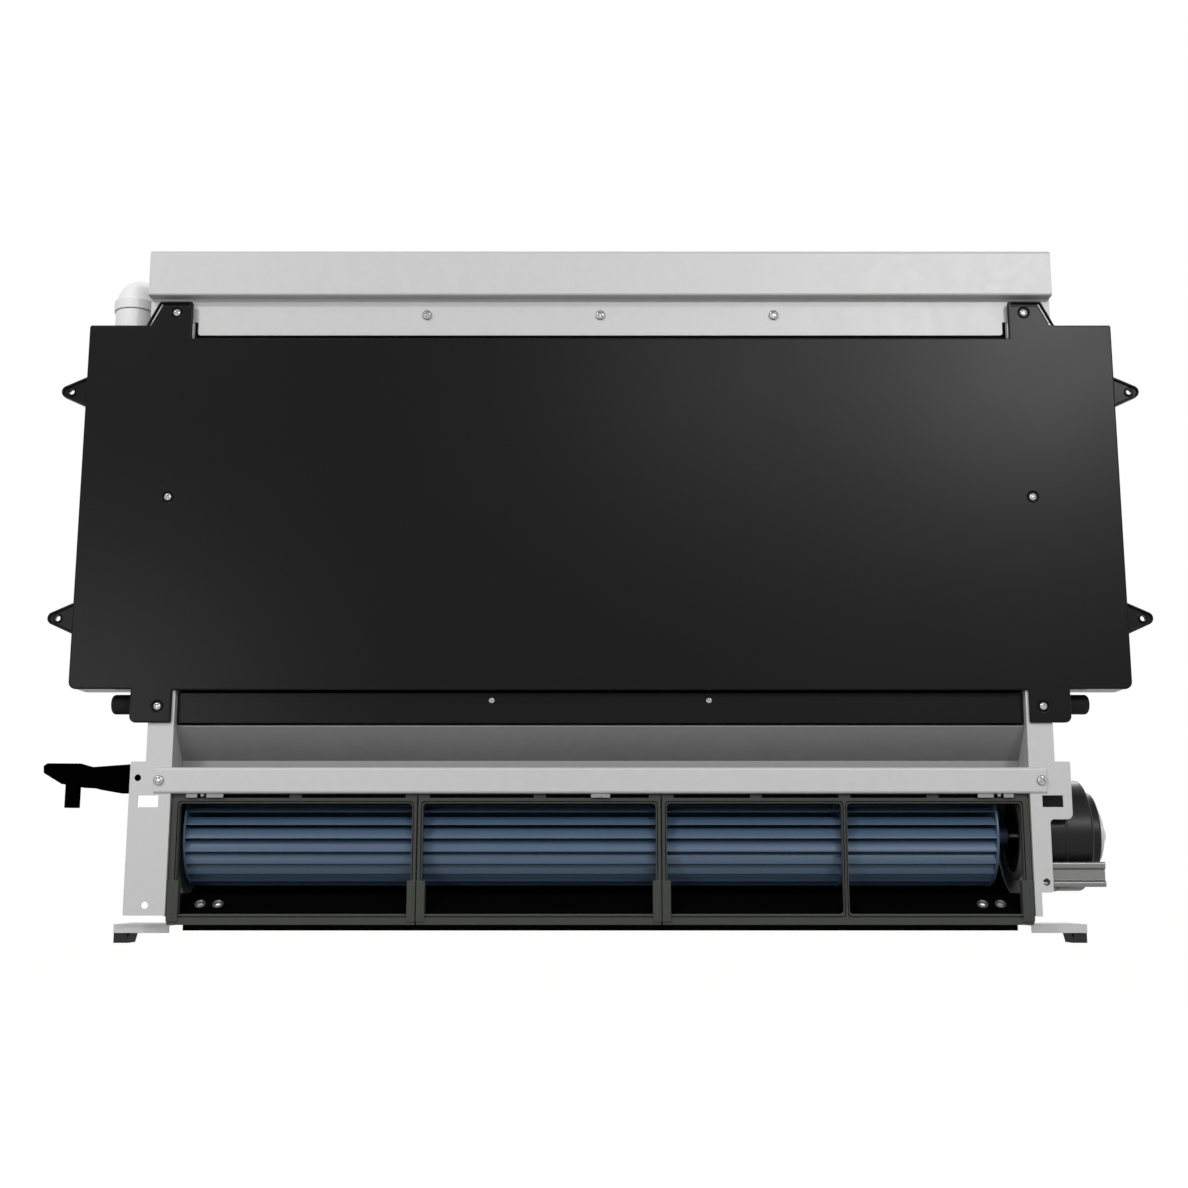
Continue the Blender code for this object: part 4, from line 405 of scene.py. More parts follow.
CARRIED_OVER: dict[str, Finish] = {
    "back_panel": ZINC_SHEET,
    "left_side_plate": ZINC_SHEET,
    "right_side_plate": ZINC_SHEET,
    "front_upper_panel": ZINC_SHEET,
    "crossbar": ZINC_SHEET,
    # painted shade: the duct panel gets the darker copy of the galvanised sheet
    "duct_front_panel": SHADE_PAINTED_SHEET,
    "fan_tongue": BLACK_SHEET,
    "scroll_casing": BLACK_SHEET,
    "intake_frame_left": FRAME_NYLON,
    "intake_frame_middle": FRAME_NYLON,
    "intake_frame_right": FRAME_NYLON,
    "impeller": FAN_PLASTIC,
    "motor_shaft": GROUND_STEEL,
    "stub_shaft": GROUND_STEEL,
    "stub_bearing_bush": EPDM,
    "motor_isolator": EPDM,
    "motor_front_shield": MOTOR_PAINT,
    "motor_housing": MOTOR_PAINT,
    "motor_end_cap": WHITE_PIPE,
    "motor_stator": LAMINATED_IRON,
    "motor_rotor": LAMINATED_IRON,
    "motor_cradle": CRADLE_STEEL,
    "coil_fin_pack": FIN_STOCK,
    "coil_left_end": ZINC_SHEET,
    "coil_right_end": ZINC_SHEET,
    "coil_top_seal": FOAM,
    "outlet_lining": FOAM,
    "flow_header": COPPER,
    "return_header": COPPER,
    "flow_union_nut": BRASS,
    "return_union_nut": BRASS,
    "bleed_screw": BRASS,
    "drip_tray": BLACK_ABS,
    "condensate_trough": BLACK_ABS,
    "valve_drip_tray": BLACK_PP,
    "pipe_clip": BLACK_PP,
    "terminal_box": BLACK_ABS,
    "terminal_box_cover": BLACK_ABS,
    "terminal_block": WHITE_PIPE,
    "left_drain_cap": EPDM,
    "right_drain_cap": EPDM,
    "left_foot_pad": PAD_RUBBER,
    "right_foot_pad": PAD_RUBBER,
    "left_foot_bracket": ZINC_SHEET,
    "right_foot_bracket": ZINC_SHEET,
    "riser_pipe": WHITE_PIPE,
    "riser_elbow": WHITE_PIPE,
}


def dress_solids() -> None:
    """Gives each carried-over solid the finish of the real piece; screws are bright zinc."""
    for name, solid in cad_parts.items():
        finish = CARRIED_OVER.get(name, ZINC_BRIGHT)
        solid.data.materials.clear()
        solid.data.materials.append(finish.material())


def grid_quads(rows: int, cols: int, ring: bool = True) -> np.ndarray:
    """Numbers the corners of the quads of a grid whose points run row by row.

    Args:
        rows: how many rows of points there are.
        cols: how many points each row has.
        ring: whether the last column joins the first.

    Returns:
        One line of four corner numbers for each quad.
    """
    across = np.arange(cols if ring else cols - 1)
    row, col = np.meshgrid(np.arange(rows - 1), across, indexing="ij")
    over = (col + 1) % cols
    low, high = row * cols, (row + 1) * cols
    return np.stack([low + col, low + over, high + over, high + col], -1).reshape(-1, 4)


def side_and_up(axis: np.ndarray) -> tuple[np.ndarray, np.ndarray]:
    """Finds two unit vectors that stand square to an axis and to each other.

    Args:
        axis: the unit vector of the axis.

    Returns:
        The two vectors; the second is the cross product of the axis and the first.
    """
    helper = np.array([0.0, 1.0, 0.0]) if abs(axis[1]) < 0.9 else np.array([1.0, 0.0, 0.0])
    side = np.cross(helper, axis)
    side /= np.linalg.norm(side)
    return side, np.cross(axis, side)


def rounded(corners: list[tuple], steps: int = 4, closed: bool = True) -> np.ndarray:
    """Rounds the corners of a polygon.

    At each corner the arc's middle lies on the bisector, radius / sin(half angle) away, and
    the arc's points are turned evenly from one side's touching point to the other's.

    Args:
        corners: (u, v) or (u, v, radius) of each corner in turn.
        steps: how many chords an arc gets.
        closed: whether the last corner joins the first.

    Returns:
        The outline's points, without doubles.
    """
    plan = np.array([(*c, 0.0)[:3] for c in corners], float)
    spot, radius = plan[:, :2], plan[:, 2]
    back, ahead = np.roll(spot, 1, 0) - spot, np.roll(spot, -1, 0) - spot
    back /= np.linalg.norm(back, axis=1)[:, None]
    ahead /= np.linalg.norm(ahead, axis=1)[:, None]
    if not closed:
        radius[[0, -1]] = 0.0
    half = np.arccos(np.clip((back * ahead).sum(1), -0.999999, 0.999999)) / 2
    bisector = back + ahead
    bisector /= np.maximum(np.linalg.norm(bisector, axis=1), 1e-9)[:, None]
    middle = spot + bisector * (radius / np.sin(half))[:, None]
    reach = (radius / np.tan(half))[:, None]
    first, last = spot + back * reach - middle, spot + ahead * reach - middle
    sweep = np.pi - 2 * half
    part = np.linspace(0, 1, steps + 1)[None, :, None]
    weight = np.maximum(np.sin(sweep), 1e-9)[:, None, None]
    turn = sweep[:, None, None]
    fade, rise = np.sin((1 - part) * turn), np.sin(part * turn)
    arc = (fade * first[:, None] + rise * last[:, None]) / weight
    sharp = (radius < 1e-9)[:, None, None]
    points = np.where(sharp, spot[:, None], middle[:, None] + arc).reshape(-1, 2)
    step = np.linalg.norm(points - np.roll(points, 1, 0), axis=1)
    step[0] = 1.0 if not closed else step[0]
    return points[step > 1e-7]


def round_hole(u: float, v: float, radius: float, steps: int = 24) -> np.ndarray:
    """Gives a circle's points: (u + r cos t, v + r sin t) for t once round."""
    t = np.linspace(0, 2 * np.pi, steps, endpoint=False)
    return np.stack([u + radius * np.cos(t), v + radius * np.sin(t)], -1)


def guarded(line: np.ndarray) -> np.ndarray:
    """Adds a point 0.3 mm inside both ends of each long stretch, so that its shading stays even.

    Args:
        line: the points of an open line.

    Returns:
        The line with the added points.
    """
    points = [line[0]]
    for start, end in zip(line[:-1], line[1:]):
        long_ = np.linalg.norm(end - start)
        if long_ > 0.0012:
            points += [start + (end - start) * 0.0003 / long_, end - (end - start) * 0.0003 / long_]
        points.append(end)
    return np.array(points)


def moved_in(loop: np.ndarray, distance: float, closed: bool = True) -> np.ndarray:
    """Moves each point of a line to its left by a distance, along the mitre of its two sides.

    Args:
        loop: the line's points in order.
        distance: how far each side moves to its left; a minus moves it to the right.
        closed: whether the last point joins the first.

    Returns:
        The moved points.
    """
    before, after = loop - np.roll(loop, 1, 0), np.roll(loop, -1, 0) - loop
    if not closed:
        before[0], after[-1] = after[0], before[-1]
    before /= np.linalg.norm(before, axis=1)[:, None]
    after /= np.linalg.norm(after, axis=1)[:, None]
    first = np.stack([-before[:, 1], before[:, 0]], -1)
    second = np.stack([-after[:, 1], after[:, 0]], -1)
    mitre = (first + second) / np.maximum(1 + (first * second).sum(1), 0.25)[:, None]
    return loop + distance * mitre


@dataclass
class Form:
    """Grids and caps of one piece, gathered until they become one mesh."""

    name: str
    finish: Finish
    points: list[np.ndarray] = field(default_factory=list)
    faces: list[list[int]] = field(default_factory=list)
    flat: list[int] = field(default_factory=list)
    count: int = 0

    def add(
        self, points: np.ndarray, faces: list | np.ndarray, lids: list | np.ndarray = ()
    ) -> "Form":
        """Adds one surface.

        Args:
            points: its points, in any shape that ends in x, y, z.
            faces: corner numbers counted from this surface's first point.
            lids: the same for plane faces, which are shaded flat.

        Returns:
            This form, so that calls can follow each other.
        """
        flat = np.asarray(points, float).reshape(-1, 3)
        self.faces += [[int(n) + self.count for n in face] for face in [*faces, *lids]]
        self.flat += [0] * len(faces) + [1] * len(lids)
        self.points.append(flat)
        self.count += len(flat)
        return self

    def turned(
        self,
        profile: list[tuple[float, float]] | np.ndarray,
        origin: tuple[float, float, float],
        axis: Axis | np.ndarray,
        steps: int = 48,
    ) -> "Form":
        """Adds a turned surface: origin + h * axis + r * (cos t * side + sin t * up).

        Args:
            profile: (r, h) from one end to the other; r = 0 closes a pole.
            origin: the point where h is nought.
            axis: the direction of h.
            steps: how many chords a full turn gets.

        Returns:
            This form.
        """
        line = guarded(np.array(profile, float))
        along = np.array(axis.value if isinstance(axis, Axis) else axis, float)
        side, up = side_and_up(along)
        t = np.linspace(0, 2 * np.pi, steps, endpoint=False)
        round_ = np.cos(t)[:, None] * side + np.sin(t)[:, None] * up
        points = (
            np.array(origin) + line[:, 1, None, None] * along + line[:, 0, None, None] * round_
        )
        return self.add(points, grid_quads(len(line), steps))

    def piped(
        self, path: np.ndarray, radius: float | np.ndarray, across: np.ndarray, steps: int = 24
    ) -> "Form":
        """Adds a pipe with closed ends along a path that lies in one plane.

        Each ring is p + r * (cos t * n + sin t * across), with n = across x tangent.

        Args:
            path: the points of the centre line.
            radius: one radius, or one for each point.
            across: the unit vector square to the path's plane.
            steps: how many chords the ring gets.

        Returns:
            This form.
        """
        line = np.asarray(path, float)
        width = np.broadcast_to(radius, len(line)).astype(float)
        tangent = np.gradient(line, axis=0)
        tangent /= np.linalg.norm(tangent, axis=1)[:, None]
        normal = np.cross(across, tangent)
        line = np.vstack([line[:1], line, line[-1:]])
        normal = np.vstack([normal[:1], normal, normal[-1:]])
        width = np.concatenate([[0.0], width, [0.0]])
        t = np.linspace(0, 2 * np.pi, steps, endpoint=False)
        ring = (
            np.cos(t)[None, :, None] * normal[:, None] + np.sin(t)[None, :, None] * across
        )
        points = line[:, None] + width[:, None, None] * ring
        return self.add(points, grid_quads(len(line), steps))

    def drawn(self, loop: np.ndarray, start: float, end: float) -> "Form":
        """Adds a section in (y, z) drawn along X from start to end, closed by flat ends.

        Args:
            loop: the closed section.
            start: where it begins on X.
            end: where it ends on X.

        Returns:
            This form.
        """
        size = len(loop)
        x = np.repeat([[start], [end]], size, 1)
        section = np.broadcast_to(loop, (2, size, 2))
        points = np.concatenate([x[..., None], section], -1)
        caps = [list(range(size)), list(range(size, 2 * size))]
        quads = grid_quads(2, size)
        plane = np.linalg.norm(loop - np.roll(loop, -1, 0), axis=1) > 0.0015
        return self.add(points, quads[~plane], [*quads[plane], *caps])

    def folded(
        self, path: list[tuple], start: float, end: float, thickness: float = SHEET
    ) -> "Form":
        """Adds bent sheet: both sides of a rounded path in (y, z), drawn along X.

        Args:
            path: (y, z) or (y, z, bend radius) of the sheet's middle line.
            start: where it begins on X.
            end: where it ends on X.
            thickness: the sheet's thickness.

        Returns:
            This form.
        """
        middle = rounded(path, closed=False)
        one = moved_in(middle, thickness / 2, closed=False)
        two = moved_in(middle, -thickness / 2, closed=False)
        return self.drawn(np.vstack([one, two[::-1]]), start, end)

    def plate(
        self,
        outline: np.ndarray,
        front: float,
        back: float,
        edge: float = 0.0,
        holes: list[np.ndarray] | None = None,
        steps: int = 3,
    ) -> "Form":
        """Adds a plate in the plane of X and Z whose front edge is rounded.

        At turn s from 0 to a right angle, the edge lies edge * (1 - sin s) inside the outline
        and edge * (1 - cos s) behind the front.

        Args:
            outline: the outer line in (x, z).
            front: Y of the front face.
            back: Y of the back face.
            edge: radius of the front edge.
            holes: lines of the openings in (x, z).
            steps: how many chords the rounding gets.

        Returns:
            This form.
        """
        loops = []
        for number, loop in enumerate([outline, *(holes or [])]):
            after = np.roll(loop, -1, axis=0)
            area = (loop[:, 0] * after[:, 1] - after[:, 0] * loop[:, 1]).sum()
            loops.append(loop if (area > 0) == (number == 0) else loop[::-1])
        s = np.linspace(0, np.pi / 2, steps + 1) if edge > 0 else np.array([np.pi / 2])
        inset = np.append(edge * (1 - np.sin(s)), 0.0)
        level = np.append(front + edge * (1 - np.cos(s)) * (edge > 0), back)
        level[0] = front
        base, starts, lasts, faces, stack = 0, [], [], [], []
        for loop in loops:
            rows = np.stack([moved_in(loop, d) for d in inset])
            depth = np.broadcast_to(level[:, None, None], (*rows.shape[:2], 1))
            stack.append(np.concatenate([rows[..., :1], depth, rows[..., 1:]], -1).reshape(-1, 3))
            faces += [*(grid_quads(len(inset), len(loop)) + base)]
            starts += list(range(base, base + len(loop)))
            lasts += list(range(base + (len(inset) - 1) * len(loop), base + len(inset) * len(loop)))
            base += len(inset) * len(loop)
        lids = [[Vector((*p, 0.0)) for p in moved_in(loop, inset[0])] for loop in loops]
        caps = []
        for corner in tessellate_polygon(lids):
            caps += [[starts[n] for n in corner], [lasts[n] for n in corner]]
        return self.add(np.vstack(stack), faces, caps)

    def place(
        self, body: Body, *replaced: str, slot: str = "", crease: float = 35.0
    ) -> bpy.types.Object:
        """Makes the mesh, merges seams and poles, faces it outwards and hangs it on its body.

        Args:
            body: the moving group that carries the piece.
            *replaced: the solids that the piece stands for.
            slot: not used.
            crease: edges sharper than this many degrees stay sharp.

        Returns:
            The placed object.
        """
        mesh = bpy.data.meshes.new(self.name)
        mesh.from_pydata(np.vstack(self.points).tolist(), [], self.faces)
        mesh.polygons.foreach_set("material_index", self.flat)
        shape = bmesh.new()
        shape.from_mesh(mesh)
        bmesh.ops.remove_doubles(shape, verts=shape.verts, dist=1e-6)
        bmesh.ops.dissolve_degenerate(shape, edges=shape.edges, dist=1e-7)
        bmesh.ops.recalc_face_normals(shape, faces=shape.faces)
        shape.to_mesh(mesh)
        shape.free()
        plane = np.zeros(len(mesh.polygons), np.int32)
        mesh.polygons.foreach_get("material_index", plane)
        mesh.polygons.foreach_set("material_index", plane * 0)
        mesh.set_sharp_from_angle(angle=math.radians(crease))
        mesh.polygons.foreach_set("use_smooth", plane == 0)
        mesh.materials.append(self.finish.material())
        piece = bpy.data.objects.new(self.name, mesh)
        bpy.context.scene.collection.objects.link(piece)
        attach(piece, body.value)
        if replaced:
            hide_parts(*replaced)
        LOG.info("%s: %d faces on %s", self.name, len(mesh.polygons), body.value)
        return piece


@dataclass
class CrossHeadScrew:
    """A bright pan head screw with a cross recess, facing the front."""

    node: str
    x: float
    z: float
    seat: float
    radius: float
    turn_deg: float
    reach: float = 0.0070
    shank: float = 0.0017

    def build(self) -> bpy.types.Object:
        """Builds the head and shank.

        The head's height at radius r is h * (1 - 0.5 * (r / R) ** 4). Inside the two arms of
        the cross it drops by the recess depth, over a narrow slope at the arms' sides.

        Returns:
            The screw.
        """
        high = 0.0024 * self.radius / 0.0041
        r = np.linspace(0, self.radius * 0.97, 16)
        t = np.linspace(0, 2 * np.pi, 64, endpoint=False)
        level = GAP + high * (1 - 0.5 * (r / self.radius) ** 4)
        foot = [
            (self.radius, GAP + high * 0.40),
            (self.radius, GAP),
            (self.shank, GAP),
            (self.shank, -self.reach),
            (0.0, -self.reach),
        ]
        rr = np.append(r, [p[0] for p in foot])
        hh = np.append(level, [p[1] for p in foot])
        turned = t + math.radians(self.turn_deg)
        u, v = rr[:, None] * np.cos(turned), rr[:, None] * np.sin(turned)
        height = np.broadcast_to(hh[:, None], u.shape).copy()
        wide, long_, slope = 0.17 * self.radius, 0.60 * self.radius, 0.10 * self.radius
        one = np.clip((wide - abs(u)) / slope + 0.5, 0, 1) * np.clip((long_ - abs(v)) / slope, 0, 1)
        two = np.clip((wide - abs(v)) / slope + 0.5, 0, 1) * np.clip((long_ - abs(u)) / slope, 0, 1)
        height -= 0.62 * high * np.maximum(one, two) * (np.arange(len(rr)) < len(r))[:, None]
        x, z = self.x + rr[:, None] * np.cos(t), self.z + rr[:, None] * np.sin(t)
        points = np.stack([x, self.seat - height, z], -1)
        form = Form(self.node + "_head", ZINC_BRIGHT)
        form.add(points, grid_quads(len(rr), len(t)))
        return form.place(Body.CASING, self.node, slot="zinc_steel", crease=30)


@dataclass
class Fasteners:
    """The screws of the tray, the crossbar, the trough and the upper panel."""

    tray_x: float = 0.3663
    tray_z: tuple[float, float, float] = (0.2321, 0.0682, -0.1096)
    tray_seat: float = -0.1223
    crossbar: tuple[float, float] = (0.3623, -0.1704)
    crossbar_seat: float = -0.1220
    trough: tuple[float, float] = (0.0905, -0.1036)
    trough_seat: float = -0.1130
    upper_x: tuple[float, float, float] = (-0.1506, 0.0, 0.1506)
    upper_seat: float = -0.1165

    def build(self) -> None:
        """Builds each screw where its solid is, each turned by its own angle."""
        for side, label in ((-1, "left"), (1, "right")):
            for place, z in zip(("upper", "middle", "lower"), self.tray_z):
                node = f"tray_screw_{label}_{place}"
                turn = 17.0 + 31 * z * 10 + 23 * side
                CrossHeadScrew(node, side * self.tray_x, z, self.tray_seat, 0.0031, turn).build()
            x, z = self.crossbar
            node = f"crossbar_screw_{label}"
            CrossHeadScrew(node, side * x, z, self.crossbar_seat, 0.0041, 40.0 * side).build()
            x, z = self.trough
            node = f"trough_screw_{label}"
            CrossHeadScrew(
                node, side * x, z, self.trough_seat, 0.0026, 12.0 * side, reach=0.0019
            ).build()
        for number, x in enumerate(self.upper_x):
            node = f"upper_panel_screw_{number + 1}"
            turn = 20.0 + 34 * number
            CrossHeadScrew(
                node, x, self.tray_z[0], self.upper_seat, 0.0041, turn, reach=0.0025
            ).build()


@dataclass
class WaterPipe:
    """The white riser on the left and its socketed elbow, which turns back to the wall."""

    x: float = -0.4184
    y: float = -0.0700
    radius: float = 0.0174
    top: float = 0.2685
    bell_low: float = 0.2503
    bell_high: float = 0.2600
    bell_radius: float = 0.0187
    bend: float = 0.0190

    def riser(self) -> bpy.types.Object:
        """Builds the riser: a pipe out of the union, a round bend, and a straight climb.

        The bend is a quarter circle: (x + b - b sin t, z + b - b cos t).

        Returns:
            The riser.
        """
        t = np.linspace(0, np.pi / 2, 14)
        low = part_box("riser_pipe")[0].z + self.radius
        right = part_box("riser_pipe")[1].x
        arc_x = self.x + self.bend - self.bend * np.sin(t)
        arc_z = low + self.bend - self.bend * np.cos(t)
        path_x = np.concatenate([[right], arc_x, [self.x, self.x]])
        path_z = np.concatenate([[low], arc_z, [0.1, self.bell_low - GAP]])
        path = np.stack([path_x, np.full_like(path_x, self.y), path_z], -1)
        form = Form("riser_tube", WHITE_PIPE)
        form.piped(path, self.radius, np.array([0.0, 1.0, 0.0]), 48)
        return form.place(Body.CASING, "riser_pipe", slot="white_plastic")

    def elbow(self) -> bpy.types.Object:
        """Builds the elbow: socket collar, quarter bend back to the wall, and leg.

        The bend is a quarter circle: (y + b - b cos t, z + b sin t).

        Returns:
            The elbow.
        """
        b = self.radius * 1.02
        t = np.linspace(0, np.pi / 2, 16)
        foot = self.top - b
        arc_y, arc_z = self.y + b - b * np.cos(t), foot + b * np.sin(t)
        path_y = np.concatenate([[self.y], arc_y, [-0.0220, -GAP]])
        path_z = np.concatenate([[self.bell_low], arc_z, [self.top, self.top]])
        path = np.stack([np.full_like(path_y, self.x), path_y, path_z], -1)
        form = Form("riser_bend", WHITE_PIPE)
        form.piped(path, self.radius, np.array([1.0, 0.0, 0.0]), 56)
        collar = [
            (self.radius - 0.0006, self.bell_low),
            (self.bell_radius - 0.0004, self.bell_low),
            (self.bell_radius, self.bell_low + 0.0005),
            (self.bell_radius, self.bell_high - 0.0006),
            (self.bell_radius - 0.0006, self.bell_high),
            (self.radius - 0.0006, self.bell_high + 0.0006),
        ]
        form.turned([*collar, collar[0]], (self.x, self.y, 0.0), Axis.UP, 56)
        leg = [(r, h - self.bell_low + 0.0240) for r, h in collar]
        form.turned([*leg, leg[0]], (self.x, -GAP, self.top), Axis.FRONT, 56)
        return form.place(Body.CASING, "riser_elbow", slot="white_plastic")

    def build(self) -> None:
        """Builds the riser and the elbow."""
        self.riser()
        self.elbow()


@dataclass
class Casing:
    """The bent front sheets of the casing: upper panel with its flange, crossbar and clips."""

    front: float = -0.1260
    recessed: float = -0.1165
    shelf: float = 0.2475
    top: float = 0.2880
    low: float = 0.2137
    wing_low: float = 0.2255
    half: float = 0.3910
    tongue: float = 0.3492
    fold: float = 0.0026
    return_deep: float = 0.0120
    bar_front: float = -0.1220
    bar_half: float = 0.3663
    bar_high: float = -0.1597
    bar_low: float = -0.1813

    def upper_panel(self) -> bpy.types.Object:
        """Builds the recessed panel with its tongue, and the flange folded forward above it.

        Returns:
            The panel.
        """
        form = Form("outlet_flange_panel", ZINC_SHEET)
        edge = self.shelf + SHEET / 2
        outline = rounded(
            [
                (-self.tongue, self.low, 0.0025),
                (self.tongue, self.low, 0.0025),
                (self.tongue, self.wing_low),
                (self.half, self.wing_low),
                (self.half, edge),
                (-self.half, edge),
                (-self.half, self.wing_low),
                (-self.tongue, self.wing_low),
            ]
        )
        places = [*Fasteners.upper_x, -Fasteners.tray_x, Fasteners.tray_x]
        holes = [round_hole(x, Fasteners.tray_z[0], 0.0021, 20) for x in places]
        form.plate(outline, self.recessed, self.recessed + SHEET, 0.00025, holes)
        proud = self.front + SHEET / 2
        path = [
            (self.recessed + SHEET * 0.9, self.shelf),
            (proud, self.shelf, 0.0014),
            (proud, self.top - SHEET / 2, self.fold),
            (proud + self.return_deep, self.top - SHEET / 2),
        ]
        form.folded(path, -self.half, self.half)
        return form.place(Body.CASING, "front_upper_panel", slot="galvanised_sheet")

    def crossbar(self) -> bpy.types.Object:
        """Builds the channel across the front, open to the back.

        Returns:
            The crossbar.
        """
        form = Form("front_crossbar", ZINC_SHEET)
        line = self.bar_front + SHEET / 2
        path = [
            (line + 0.0094, self.bar_high - SHEET / 2),
            (line, self.bar_high - SHEET / 2, 0.0016),
            (line, self.bar_low + SHEET / 2, 0.0016),
            (line + 0.0094, self.bar_low + SHEET / 2),
        ]
        form.folded(path, -self.bar_half, self.bar_half)
        return form.place(Body.CASING, "crossbar", slot="galvanised_sheet")

    def clips(self) -> bpy.types.Object:
        """Builds the small sheet tongues and rivets that hold the intake frames' top edge.

        Returns:
            The row of tongues.
        """
        # painted shade: the tongues get the darker copy of the sheet, as they sit in the crossbar's
        # shadow
        form = Form("frame_holding_tongues", SHADE_PAINTED_SHEET)
        low, high = -0.1846, self.bar_low + 0.0002
        for start, end in (
            (-0.3398, -0.3307),
            (-0.3233, -0.3093),
            (-0.0077, 0.0080),
            (0.3097, 0.3228),
            (0.3310, 0.3392),
        ):
            corners = [(start, low, 0.0006), (end, low, 0.0006), (end, high), (start, high)]
            form.plate(rounded(corners), -0.1199, -0.1189, 0.0002)
        for x in (-0.3266, 0.0002, 0.3273):
            dome = [
                (0.0, 0.0010),
                (0.0010, 0.0008),
                (0.0015, 0.0002),
                (0.0015, -0.0010),
                (0.0, -0.0010),
            ]
            form.turned(dome, (x, -0.1196, -0.1826), Axis.FRONT, 20)
        return form.place(Body.CASING, slot="galvanised_sheet")

    def build(self) -> None:
        """Builds the sheets in turn."""
        self.upper_panel()
        self.crossbar()
        self.clips()


